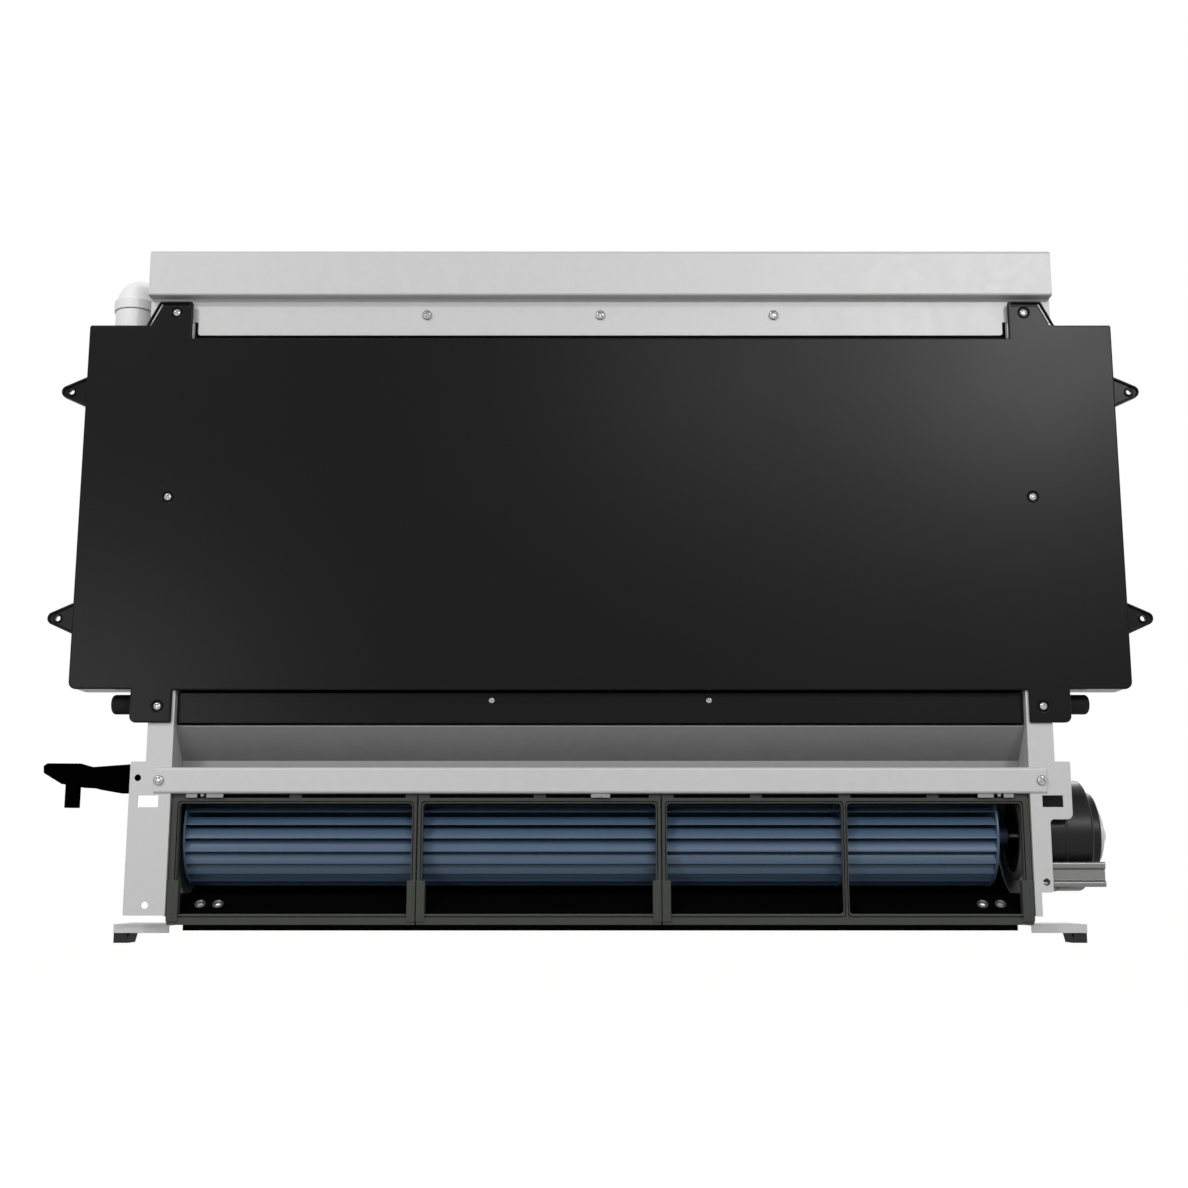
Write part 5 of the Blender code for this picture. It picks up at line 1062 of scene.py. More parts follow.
@dataclass
class DripTray:
    """The moulded black front: a flat skin with tabs, wing rims, grooves and four ears."""

    front: float = -0.1235
    skin: float = 0.0025
    half: float = 0.4410
    top: float = 0.2207
    bottom: float = -0.0954
    middle_top: float = 0.2090
    middle_half: float = 0.3527
    lower_edge: float = -0.0962
    tab_high: float = 0.2423
    tab_out: float = 0.3815
    tab_foot: float = 0.3925
    low_tab_out: float = 0.3892
    low_tab_low: float = -0.1232
    low_tab_in: float = 0.3548
    rim_deep: float = 0.0300
    rim_from: float = 0.3765
    corner: float = 0.0060
    edge: float = 0.0011
    ear_tip: float = 0.4628
    ear_round: float = 0.0055
    ear_half: float = 0.0140
    ear_hole: float = 0.4543
    ear_heights: tuple[float, float] = (0.1618, -0.0355)

    def outline(self) -> np.ndarray:
        """Gives the skin's outline in (x, z), the left half mirrored from the right."""
        right = [
            (self.middle_half, self.middle_top, 0.0006),
            (self.middle_half, self.tab_high, 0.0022),
            (self.tab_out, self.tab_high, 0.0030),
            (self.tab_foot, self.top, 0.0010),
            (self.half, self.top, 0.0020),
            (self.half, self.bottom, self.corner),
            (self.low_tab_out, self.bottom, 0.0008),
            (self.low_tab_out, self.low_tab_low, 0.0052),
            (self.low_tab_in, self.low_tab_low, 0.0012),
            (self.low_tab_in, self.lower_edge, 0.0006),
        ]
        left = [(-c[0], *c[1:]) for c in reversed(right)]
        return rounded(right + left, steps=5)

    def groove(self, side: int) -> np.ndarray:
        """Gives the moulded groove along the top and slope of an upper tab.

        Args:
            side: 1 on the right, -1 on the left.

        Returns:
            The groove's closed line in (x, z).
        """
        line = [
            (0.3562, self.tab_high - 0.0020, 0.0005),
            (self.tab_out - 0.0012, self.tab_high - 0.0020, 0.0012),
            (self.tab_foot - 0.0025, self.top + 0.0006, 0.0005),
            (self.tab_foot - 0.0041, self.top - 0.0002, 0.0005),
            (self.tab_out - 0.0023, self.tab_high - 0.0037, 0.0008),
            (0.3562, self.tab_high - 0.0037, 0.0005),
        ]
        return rounded([(side * c[0], *c[1:]) for c in line])

    def ear(self, side: int, height: float) -> tuple[np.ndarray, np.ndarray]:
        """Gives an ear's outline and its inner line, 1.8 mm inside the rim.

        The tip is an arc round the middle m of the tip; a tangent from the root's corner
        touches it at the angle atan2(corner - m) - acos(radius / distance).

        Args:
            side: 1 on the right, -1 on the left.
            height: Z of its fixing hole.

        Returns:
            The two lines in (x, z).
        """
        lines = []
        for root, half, radius in (
            (self.half - self.skin / 2, self.ear_half, self.ear_round),
            (self.half + 0.0004, self.ear_half - 0.0030, self.ear_round - 0.0018),
        ):
            middle = self.ear_tip - self.ear_round
            away = math.hypot(half, root - middle)
            swing = math.atan2(half, root - middle) - math.acos(radius / away)
            t = np.linspace(-swing, swing, 15)
            x = np.concatenate([[root], middle + radius * np.cos(t), [root]])
            z = np.concatenate([[-half], radius * np.sin(t), [half]]) + height
            lines.append(np.stack([side * x, z], -1))
        return lines[0], lines[1]

    def build(self) -> bpy.types.Object:
        """Builds skin, screw seats, grooves, wing rims, inner rims and ears as one moulding.

        Returns:
            The tray.
        """
        form = Form("moulded_drip_tray", BLACK_ABS)
        seats = [
            (side * Fasteners.tray_x, z) for side in (-1, 1) for z in Fasteners.tray_z
        ]
        holes = [round_hole(x, z, 0.0044, 40) for x, z in seats]
        holes += [self.groove(side) for side in (-1, 1)]
        back = self.front + self.skin
        form.plate(self.outline(), self.front, back, self.edge, holes, 5)
        for x, z in seats:
            dish = [
                (0.0, -0.0012),
                (0.0040, -0.0012),
                (0.0045, -0.0007),
                (0.0046, -0.0024),
                (0.0, -0.0024),
            ]
            form.turned(dish, (x, self.front, z), Axis.FRONT, 40)
        wall, low, top = self.skin, self.bottom + 0.0006, self.top - 0.0006
        out = self.half - 0.0004
        for side in (-1, 1):
            rim = [
                (self.rim_from, top),
                (out, top, 0.0020),
                (out, low, self.corner),
                (self.rim_from, low),
                (self.rim_from, low + wall),
                (out - wall, low + wall, self.corner - wall),
                (out - wall, top - wall, 0.0006),
                (self.rim_from, top - wall),
            ]
            strip = rounded([(side * c[0], *c[1:]) for c in rim], steps=5)
            form.plate(strip, back - 0.0006, self.front + self.rim_deep)
            pad = [
                (side * (Fasteners.tray_x - 0.0110), 0.2150),
                (side * (Fasteners.tray_x + 0.0230), 0.2150),
                (side * (Fasteners.tray_x + 0.0125), self.tab_high - 0.0012),
                (side * (Fasteners.tray_x - 0.0110), self.tab_high - 0.0012),
            ]
            form.plate(rounded([(*p, 0.0015) for p in pad]), back - 0.0002, self.front + 0.0060)
            for height in self.ear_heights:
                outer, inner = self.ear(side, height)
                hole = round_hole(side * self.ear_hole, height, 0.0024, 28)
                form.plate(outer, self.front + 0.0046, self.front + 0.0080, 0.0004, [hole])
                form.plate(outer, self.front + 0.0026, self.front + 0.0050, 0.0008, [inner], 4)
                boss = [
                    (0.0024, -0.0048),
                    (0.0024, -0.0034),
                    (0.0030, -0.0030),
                    (0.0036, -0.0034),
                    (0.0038, -0.0048),
                    (0.0024, -0.0048),
                ]
                form.turned(boss, (side * self.ear_hole, self.front, height), Axis.FRONT, 32)
        half = self.middle_half - 0.0022
        for low, high, deep in (
            (self.lower_edge + 0.0003, self.lower_edge + wall, 0.0102),
            (self.middle_top - wall, self.middle_top - 0.0003, 0.0072),
        ):
            corners = [(-half, low), (half, low), (half, high), (-half, high)]
            form.plate(rounded(corners), back - 0.0006, back + deep)
        return form.place(Body.CASING, "drip_tray", slot="black_plastic")


@dataclass
class IntakeFrames:
    """Three moulded frames over the fan, each with stepped rails, clips and top tongues."""

    front: float = -0.1175
    back: float = -0.1110
    top: float = -0.1844
    bottom: float = -0.2869
    top_rail: float = 0.0048
    bottom_rail: float = 0.0087
    side_rail: float = 0.0068
    shared_rail: float = 0.0043
    rib: float = 0.0048
    rib_place: float = 0.2003
    splits: tuple[float, float] = (-0.1500, 0.0501)
    outer: float = 0.3522
    step_back: float = 0.0024
    clip_high: float = -0.2515
    clip_low: float = -0.2843

    def window(self, start: float, end: float, grow: float = 0.0) -> np.ndarray:
        """Gives a window's line, or the line a few tenths outside it.

        Args:
            start: its left side.
            end: its right side.
            grow: how far the line lies outside the window.

        Returns:
            The closed line in (x, z).
        """
        low, high = self.bottom + self.bottom_rail - grow * 1.7, self.top - self.top_rail + grow
        side = grow * 0.9
        corner = 0.0030
        return rounded(
            [
                (start - side, low, corner),
                (end + side, low, corner),
                (end + side, high, corner),
                (start - side, high, corner),
            ],
            steps=5,
        )

    def one(
        self,
        node: str,
        left: float,
        right: float,
        windows: list[tuple[float, float]],
        clips: list[tuple[float, float]],
        tongues: list[tuple[float, float]],
    ) -> bpy.types.Object:
        """Builds one frame from a set-back plate, a raised plate, clips and tongues.

        Args:
            node: the solid that it stands for.
            left: its left end.
            right: its right end.
            windows: left and right side of each window.
            clips: left and right side of each clip.
            tongues: left and right side of each tongue above the top rail.

        Returns:
            The frame.
        """
        form = Form(node + "_moulding", FRAME_NYLON)
        corners = [
            (left, self.bottom, 0.0008),
            (right, self.bottom, 0.0008),
            (right, self.top, 0.0008),
            (left, self.top, 0.0008),
        ]
        outline = rounded(corners)
        holes = [self.window(a, b) for a, b in windows]
        form.plate(outline, self.front + self.step_back, self.back, 0.0003, holes)
        bigger = [self.window(a, b, 0.0019) for a, b in windows]
        deep = self.front + self.step_back + 0.0003
        form.plate(
            moved_in(outline, 0.0003), self.front, deep, 0.0003, bigger
        )
        for a, b in windows:
            lip, hole = self.window(a, b, 0.0010), self.window(a, b, 0.0002)
            form.plate(lip, self.front + 0.0005, deep, 0.0002, [hole])
        for start, end in clips:
            block = [
                (start, self.clip_low, 0.0006),
                (end, self.clip_low, 0.0006),
                (end, self.clip_high, 0.0006),
                (start, self.clip_high, 0.0006),
            ]
            form.plate(rounded(block), self.front - 0.0015, self.back - 0.0003, 0.0005)
            slit = (start + end) / 2
            rib = [
                (slit - 0.0006, self.clip_low + 0.003, 0.0003),
                (slit + 0.0006, self.clip_low + 0.003, 0.0003),
                (slit + 0.0006, self.clip_high - 0.003, 0.0003),
                (slit - 0.0006, self.clip_high - 0.003, 0.0003),
            ]
            form.plate(rounded(rib), self.front - 0.0020, self.front - 0.0010, 0.0003)
        for start, end in tongues:
            tab = [
                (start, self.top - 0.001),
                (end, self.top - 0.001),
                (end, self.top + 0.0030, 0.0006),
                (start, self.top + 0.0030, 0.0006),
            ]
            form.plate(rounded(tab), self.front + 0.0006, self.front + 0.0030, 0.0003)
        return form.place(Body.CASING, node, slot="frame_plastic")

    def build(self) -> None:
        """Builds the left, middle and right frame."""
        first, second = self.splits
        slit, shared, clip = 0.0003, self.shared_rail, 0.0073
        side_clip = self.side_rail + 0.0025
        self.one(
            "intake_frame_left",
            -self.outer,
            first - slit,
            [(-self.outer + self.side_rail, first - slit - shared)],
            [(-self.outer, -self.outer + side_clip), (first - clip, first - slit)],
            [(-0.3510, -0.3402), (-0.2555, -0.2454), (-0.1602, first - slit)],
        )
        self.one(
            "intake_frame_middle",
            first + slit,
            second - slit,
            [(first + slit + shared, second - slit - shared)],
            [(first + slit, first + clip), (second - clip, second - slit)],
            [(first + slit, -0.1402), (-0.0549, -0.0448), (0.0398, second - slit)],
        )
        half = self.rib / 2
        self.one(
            "intake_frame_right",
            second + slit,
            self.outer,
            [
                (second + slit + shared, self.rib_place - half),
                (self.rib_place + half, self.outer - self.side_rail),
            ],
            [(second + slit, second + clip), (self.outer - side_clip, self.outer)],
            [
                (second + slit, 0.0603),
                (0.1231, 0.1328),
                (0.1957, 0.2056),
                (0.2682, 0.2781),
                (0.3402, 0.3510),
            ],
        )


@dataclass
class CrossFlowFan:
    """The cross-flow impeller, its end rings, and the eyelets in the scroll below it."""

    axis: tuple[float, float] = (-0.0660, -0.2139)
    radius: float = 0.0430
    left: float = -0.3440
    right: float = 0.3290
    left_disc: float = 0.0018
    right_disc: float = 0.0022
    dish: float = 0.0005
    blades: int = 24
    chord: float = 0.0095
    sweep_deg: float = 13.5
    curl: float = 1.25
    offset_deg: float = 6.2
    rings: tuple[float, float, float] = (-0.1500, 0.0500, 0.2003)
    bore: float = 0.0310
    hub: float = 0.0075
    hub_end: float = 0.3455

    def blade(self, angle: float) -> np.ndarray:
        """Gives one blade's section in (y, z).

        At part s from its root, the radius is r = R - c + c * s, and the middle line is turned
        by sweep * (1 - cos(curl * s)) / (1 - cos(curl)): the root stands radial and the tip
        leans most. The half thickness is w * (1.35 - 0.75 s), and it closes as
        sqrt(1 - (2 s - 1) ** 8) at both ends.

        Args:
            angle: where the blade stands on the drum.

        Returns:
            The closed section.
        """
        s = np.linspace(0, 1, 13)
        outer = self.radius - 0.0003
        r = outer - self.chord + self.chord * s
        share = (1 - np.cos(self.curl * s)) / (1 - math.cos(self.curl))
        turn = angle + math.radians(self.sweep_deg) * share
        half = 0.00055 * (1.35 - 0.75 * s) * np.sqrt(1 - (2 * s - 1) ** 8) / r
        both_r = np.concatenate([r, r[-2:0:-1]])
        both_t = np.concatenate([turn + half, (turn - half)[-2:0:-1]])
        y = self.axis[0] + both_r * np.cos(both_t)
        z = self.axis[1] + both_r * np.sin(both_t)
        return np.stack([y, z], -1)

    def impeller(self) -> bpy.types.Object:
        """Builds blades, middle rings, both ends and the hub as one moulding.

        Returns:
            The impeller.
        """
        form = Form("cross_flow_impeller", FAN_PLASTIC)
        start, end = self.left + self.left_disc / 2, self.right - self.right_disc / 2
        turns = np.arange(self.blades) * 2 * np.pi / self.blades
        for angle in math.radians(self.offset_deg) + turns:
            form.drawn(self.blade(angle), start, end)
        origin, big = (0.0, *self.axis), self.radius
        for x in self.rings:
            ring = [
                (self.bore, x - 0.0010),
                (self.bore, x + 0.0010),
                (big - 0.0003, x + 0.0010),
                (big, x + 0.0007),
                (big, x - 0.0007),
                (big - 0.0003, x - 0.0010),
                (self.bore, x - 0.0010),
            ]
            form.turned(ring, origin, Axis.RIGHT, 96)
        a, b = self.left, self.left + self.left_disc
        left_end = [
            (0.0034, b),
            (0.0034, a),
            (0.0120, a),
            (0.0126, a + self.dish),
            (big - 0.0040, a + self.dish),
            (big - 0.0034, a),
            (big - 0.0006, a),
            (big, a + 0.0006),
            (big, b - 0.0006),
            (big - 0.0006, b),
            (0.0034, b),
        ]
        form.turned(left_end, origin, Axis.RIGHT, 96)
        a, b = self.right - self.right_disc, self.right
        right_end = [
            (0.0034, a),
            (big - 0.0006, a),
            (big, a + 0.0006),
            (big, b - 0.0006),
            (big - 0.0006, b),
            (big - 0.0034, b),
            (big - 0.0040, b - self.dish),
            (self.hub + 0.0040, b - self.dish),
            (self.hub + 0.0010, b),
            (self.hub, b + 0.0012),
            (self.hub, self.hub_end - 0.0006),
            (self.hub - 0.0006, self.hub_end),
            (0.0034, self.hub_end),
            (0.0034, a),
        ]
        form.turned(right_end, origin, Axis.RIGHT, 96)
        return form.place(Body.ROTOR, "impeller", slot="fan_plastic")

    def eyelets(self) -> bpy.types.Object:
        """Builds the four rolled eyelets on the scroll's sloping lip.

        Returns:
            The eyelets.
        """
        form = Form("scroll_lip_eyelets", EYELET_STEEL)
        slope = math.radians(40.0)
        upright = np.array([0.0, -math.sin(slope), math.cos(slope)])
        ring = [
            (0.0023, -0.0010),
            (0.0022, 0.0004),
            (0.0026, 0.0012),
            (0.0034, 0.0016),
            (0.0043, 0.0013),
            (0.0047, 0.0007),
            (0.0047, 0.0002),
            (0.0034, 0.0002),
            (0.0034, -0.0010),
            (0.0023, -0.0010),
        ]
        for x in (-0.3290, -0.3143, 0.3143, 0.3290):
            form.turned(ring, (x, -0.1010, -0.2708), upright, 32)
        return form.place(Body.CASING, slot="zinc_steel")

    def seal_ring(self) -> bpy.types.Object:
        """Builds the pressed ring round the motor's rubber mount, inside the right wall.

        Returns:
            The ring.
        """
        form = Form("motor_mount_ring", RING_NYLON)
        ring = [
            (0.0305, 0.3519),
            (0.0305, 0.3496),
            (0.0318, 0.3484),
            (0.0342, 0.3484),
            (0.0356, 0.3496),
            (0.0372, 0.3514),
            (0.0372, 0.3519),
            (0.0305, 0.3519),
        ]
        form.turned(ring, (0.0, *self.axis), Axis.RIGHT, 72)
        return form.place(Body.CASING, slot="frame_plastic")

    def build(self) -> None:
        """Builds the fan's pieces in turn."""
        self.impeller()
        self.eyelets()
        self.seal_ring()


@dataclass
class Motor:
    """The drum motor on the right, with its front shield, end cap and ribbed cradle."""

    axis: tuple[float, float] = (-0.0660, -0.2139)
    radius: float = 0.0463
    start: float = 0.3600
    drum_end: float = 0.4060
    neck_radius: float = 0.0360
    neck_end: float = 0.4153
    cap_radius: float = 0.0240
    cap_end: float = 0.4285
    cradle_front: float = -0.1165
    cradle_high: float = -0.2370
    cradle_low: float = -0.2560

    def housing(self) -> bpy.types.Object:
        """Turns the drum with its stepped, rounded end.

        Returns:
            The housing.
        """
        form = Form("motor_drum", MOTOR_PAINT)
        big, neck, step, end = self.radius, self.neck_radius, self.drum_end, self.neck_end
        path = [
            (0.0, end),
            (neck - 0.0060, end, 0.0010),
            (neck - 0.0045, end - 0.0010, 0.0010),
            (neck - 0.0030, end - 0.0010, 0.0008),
            (neck - 0.0020, end, 0.0006),
            (neck, end, 0.0014),
            (neck, step + 0.0016, 0.0010),
            (neck + 0.0012, step, 0.0008),
            (big, step, 0.0018),
            (big, self.start, 0.0010),
            (big - 0.0035, self.start),
            (big - 0.0035, step - 0.0032),
            (0.0050, step - 0.0032),
            (0.0050, step + 0.0030),
            (0.0, step + 0.0030),
        ]
        form.turned(rounded(path, steps=5, closed=False), (0.0, *self.axis), Axis.RIGHT, 96)
        band = [
            (big - 0.0002, self.start + 0.0225),
            (big + 0.0004, self.start + 0.0228),
            (big + 0.0004, self.start + 0.0242),
            (big - 0.0002, self.start + 0.0245),
        ]
        form.turned([*band, band[0]], (0.0, *self.axis), Axis.RIGHT, 96)
        return form.place(Body.CASING, "motor_housing", slot="motor_black")

    def end_cap(self) -> bpy.types.Object:
        """Turns the white cap over the motor's rear bearing.

        Returns:
            The cap.
        """
        form = Form("motor_bearing_cap", WHITE_PIPE)
        a, top = self.neck_end + GAP, self.cap_end
        path = [
            (0.0, top),
            (0.0050, top, 0.0015),
            (0.0080, top - 0.0023, 0.0030),
            (0.0180, top - 0.0053, 0.0030),
            (self.cap_radius, top - 0.0077, 0.0012),
            (self.cap_radius, a, 0.0003),
            (0.0, a),
        ]
        form.turned(rounded(path, steps=4, closed=False), (0.0, *self.axis), Axis.RIGHT, 56)
        return form.place(Body.CASING, "motor_end_cap", slot="white_plastic")

    def cradle(self) -> bpy.types.Object:
        """Folds the ribbed cradle in front of the motor.

        Returns:
            The cradle.
        """
        form = Form("motor_cradle_bracket", CRADLE_STEEL)
        front, high, low = self.cradle_front, self.cradle_high, self.cradle_low
        path = [
            (front + 0.0056, high),
            (front, high, 0.0011),
            (front, high - 0.0040, 0.0008),
            (front + 0.0022, high - 0.0054, 0.0008),
            (front + 0.0022, low + 0.0046, 0.0008),
            (front, low + 0.0030, 0.0008),
            (front, low, 0.0011),
            (front + 0.0060, low),
        ]
        form.folded(path, 0.3540, 0.4120)
        return form.place(Body.CASING, "motor_cradle", slot="galvanised_sheet")

    def build(self) -> None:
        """Builds the motor's pieces in turn."""
        self.housing()
        self.end_cap()
        self.cradle()


@dataclass
class Coil:
    """The leaning coil: thin fins, tube sheets, copper bends, headers, nuts and bleed screw."""

    centre: tuple[float, float] = (-0.0570, 0.0545)
    lean: float = 0.2028
    half_up: float = 0.1500
    half_across: float = 0.0200
    half_long: float = 0.3504
    fin_pitch: float = 0.0025
    fin_thick: float = 0.00022
    tubes: int = 12
    row: float = 0.0110
    tube: float = 0.0048
    header_x: float = -0.3765
    header: float = 0.0090

    def point(self, across: np.ndarray | float, up: np.ndarray | float) -> np.ndarray:
        """Gives (y, z) = centre + across * (cos a, -sin a) + up * (sin a, cos a).

        Args:
            across: distances through the coil's thickness.
            up: distances along its height.

        Returns:
            The points.
        """
        sine, cosine = self.lean, math.sqrt(1 - self.lean**2)
        across, up = np.asarray(across, float), np.asarray(up, float)
        y = self.centre[0] + across * cosine + up * sine
        z = self.centre[1] - across * sine + up * cosine
        return np.stack([y, z], -1)

    def fins(self) -> bpy.types.Object:
        """Builds all fins as one array of thin plates with a pleated section.

        Each fin's section is pleated: x moves by p * (-1) ** k at the k-th line across it.

        Returns:
            The fins.
        """
        form = Form("coil_fins", FIN_STOCK)
        count = int(round(2 * self.half_long / self.fin_pitch)) + 1
        x = np.linspace(-self.half_long + 0.0004, self.half_long - 0.0004, count)
        across = np.linspace(-self.half_across, self.half_across, 9)
        pleat = 0.0003 * (-1.0) ** np.arange(9)
        loop_across = np.concatenate([across, across[::-1]])
        loop_x = np.concatenate([pleat + self.fin_thick / 2, (pleat - self.fin_thick / 2)[::-1]])
        up = np.array([-self.half_up, self.half_up])
        place = self.point(loop_across[None, :], up[:, None])
        spot = np.empty((count, 2, 18, 3))
        spot[..., 0] = x[:, None, None] + loop_x[None, None, :]
        spot[..., 1:] = place[None]
        sides = grid_quads(2, 18)
        ends = np.array([[[k, k + 1, 16 - k, 17 - k]] for k in range(8)]).reshape(-1, 4)
        quads = np.vstack([sides, ends, ends + 18])
        starts = np.arange(count) * 36
        return form.add(spot, (quads[None] + starts[:, None, None]).reshape(-1, 4)).place(
            Body.CASING, "coil_fin_pack", slot="fin_aluminium"
        )

    def tube_sheets(self) -> None:
        """Builds each tube sheet as zinc plate with its brazed copper bends."""
        corners = self.point([-0.02, 0.02, 0.02, -0.02], [-0.15, -0.15, 0.15, 0.15])
        through = np.array([0.0, math.sqrt(1 - self.lean**2), -self.lean])
        t = np.linspace(0, np.pi, 15)
        pitch = 2 * self.half_up / self.tubes
        for side, label in ((-1, "left"), (1, "right")):
            inner, outer = side * 0.3510, side * 0.3522
            sheet = Form(f"coil_{label}_tube_sheet", ZINC_SHEET)
            sheet.drawn(corners, min(inner, outer), max(inner, outer))
            sheet.place(Body.CASING, f"coil_{label}_end", slot="galvanised_sheet")
            bends = Form(f"coil_{label}_return_bends", COPPER)
            for across in (-self.row, self.row):
                for number in range(0 if side > 0 else 1, self.tubes - 1, 2):
                    middle = (number - (self.tubes - 1) / 2 + 0.5) * pitch
                    out = np.concatenate([[-0.0010], 0.0020 + pitch / 2 * np.sin(t), [-0.0010]])
                    up = np.concatenate([[-1.0], -np.cos(t), [1.0]]) * pitch / 2 + middle
                    place = self.point(across, up)
                    path = np.column_stack([side * (0.3522 + out), place])
                    bends.piped(path, self.tube, through, 20)
                    for height in (middle - pitch / 2, middle + pitch / 2):
                        spot = (side * 0.3521, *self.point(across, height))
                        braze = [
                            (0.0064, -0.0004),
                            (0.0062, 0.0008),
                            (0.0050, 0.0022),
                            (0.0040, 0.0024),
                        ]
                        way = Axis.RIGHT if side > 0 else Axis.LEFT
                        bends.turned([(0.0, -0.0004), *braze, (0.0, 0.0024)], spot, way, 20)
            bends.place(Body.CASING, slot="copper_tube")

    def one_header(self, node: str, low: float, high: float, outlet: float, stub: float) -> None:
        """Builds a header with domed ends, two bent stubs and its outlet.

        Args:
            node: the solid that it stands for.
            low: its lower end along the coil's height.
            high: its upper end.
            outlet: the height of its outlet.
            stub: the height of its stubs.
        """
        form = Form(node + "_tube", COPPER)
        upright = np.array([0.0, self.lean, math.sqrt(1 - self.lean**2)])
        through = np.array([0.0, math.sqrt(1 - self.lean**2), -self.lean])
        foot = (self.header_x, *self.point(0.0, 0.0))
        big = self.header
        body = [(0.0, low), (big, low, 0.0040), (big, high, 0.0040), (0.0, high)]
        form.turned(rounded(body, steps=6, closed=False), foot, upright, 36)
        for across in (-self.row, self.row):
            s = np.linspace(0, 1, 12)
            ease = s * s * (3 - 2 * s)
            place = self.point(across * (0.45 + 0.55 * ease), stub)
            path = np.column_stack([self.header_x + 0.0240 * s, place])
            form.piped(path, self.tube, upright, 20)
        ring = [(0.0, 0.0040), (0.0075, 0.0040), (0.0075, 0.0216), (0.0068, 0.0220), (0.0, 0.0220)]
        form.turned(ring, (self.header_x, *self.point(0.0, outlet)), Axis.LEFT, 28)
        braze = [(0.0, 0.0060), (0.0092, 0.0070), (0.0090, 0.0088), (0.0076, 0.0102), (0.0, 0.0102)]
        form.turned(braze, (self.header_x, *self.point(0.0, outlet)), Axis.LEFT, 28)
        assert abs(float(through @ upright)) < 1e-9
        form.place(Body.CASING, node, slot="copper_tube")

    def nut(self, node: str, outlet: float) -> None:
        """Builds a hexagonal union nut.

        The radius at turn t is a / cos(t mod 60 - 30 degrees), held under r0 + 1.6 h at a
        distance h from either face, which cuts the round chamfers.

        Args:
            node: the solid that it stands for.
            outlet: the height of its header's outlet.
        """
        low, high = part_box(node)
        long_ = high.x - low.x
        t = np.linspace(0, 2 * np.pi, 72, endpoint=False)
        flat = 0.0121 / np.cos((t % (np.pi / 3)) - np.pi / 6)
        h = np.array([0.0, 0.0004, 0.0009, 0.0016, 0.5 * long_])
        h = np.concatenate([h, long_ - h[-2::-1]])
        limit = 0.0118 + 1.6 * np.minimum(h, long_ - h)
        outer = np.minimum(flat[None], limit[:, None])
        bore = np.full((1, 72), 0.0078)
        radius = np.vstack([bore, outer, bore, bore])
        height = np.concatenate([[0.0], h, [long_, 0.0]])
        y, z = self.point(0.0, outlet)
        points = np.stack(
            [
                np.broadcast_to(high.x - height[:, None], radius.shape),
                y + radius * np.cos(t),
                z + radius * np.sin(t),
            ],
            -1,
        )
        form = Form(node + "_hexagon", BRASS).add(points, grid_quads(len(radius), 72))
        form.place(Body.CASING, node, slot="union_brass", crease=20)

    def bleed(self) -> None:
        """Turns the bleed screw with its socket."""
        form = Form("vent_bleed_screw", BRASS)
        upright = np.array([0.0, self.lean, math.sqrt(1 - self.lean**2)])
        path = [
            (0.0, 0.0040),
            (0.0024, 0.0044),
            (0.0024, 0.0060),
            (0.0049, 0.0060),
            (0.0055, 0.0053),
            (0.0055, 0.0003),
            (0.0030, 0.0003),
            (0.0030, -0.0080),
            (0.0, -0.0080),
        ]
        form.turned(path, (self.header_x, -0.026987, 0.199425), upright, 36)
        form.place(Body.BLEED, "bleed_screw", slot="union_brass")

    def build(self) -> None:
        """Builds the coil's pieces in turn."""
        self.fins()
        self.tube_sheets()
        outlet = -0.0130 / self.lean
        self.one_header("flow_header", -0.148, outlet - 0.022, -0.118, -0.1375)
        self.one_header("return_header", outlet - 0.012, 0.148, outlet, 0.1375)
        self.nut("flow_union_nut", -0.118)
        self.nut("return_union_nut", outlet)
        self.bleed()


@dataclass
class DrainCaps:
    """The rubber cups on both spouts of the trough."""

    place: tuple[float, float] = (-0.1000, -0.1059)
    radius: float = 0.0083
    start: float = 0.3880
    end: float = 0.4100
    bore: float = 0.0061
    floor: float = 0.4033

    def build(self) -> None:
        """Turns both caps, each with a rolled rim and a rounded end."""
        for side, label, body in ((-1, "left", Body.LEFT_CAP), (1, "right", Body.RIGHT_CAP)):
            form = Form(f"{label}_rubber_cap", EPDM)
            path = [
                (0.0, self.end),
                (self.radius, self.end, 0.0030),
                (self.radius, self.start + 0.0046, 0.0004),
                (self.radius - 0.0007, self.start + 0.0040, 0.0004),
                (self.radius - 0.0007, self.start + 0.0026, 0.0004),
                (self.radius, self.start + 0.0020, 0.0006),
                (self.radius, self.start, 0.0008),
                (self.bore, self.start, 0.0004),
                (self.bore, self.floor),
                (0.0, self.floor),
            ]
            way = Axis.RIGHT if side > 0 else Axis.LEFT
            line = rounded(path, steps=4, closed=False)
            form.turned(line, (0.0, *self.place), way, 40)
            form.place(body, f"{label}_drain_cap", slot="rubber")


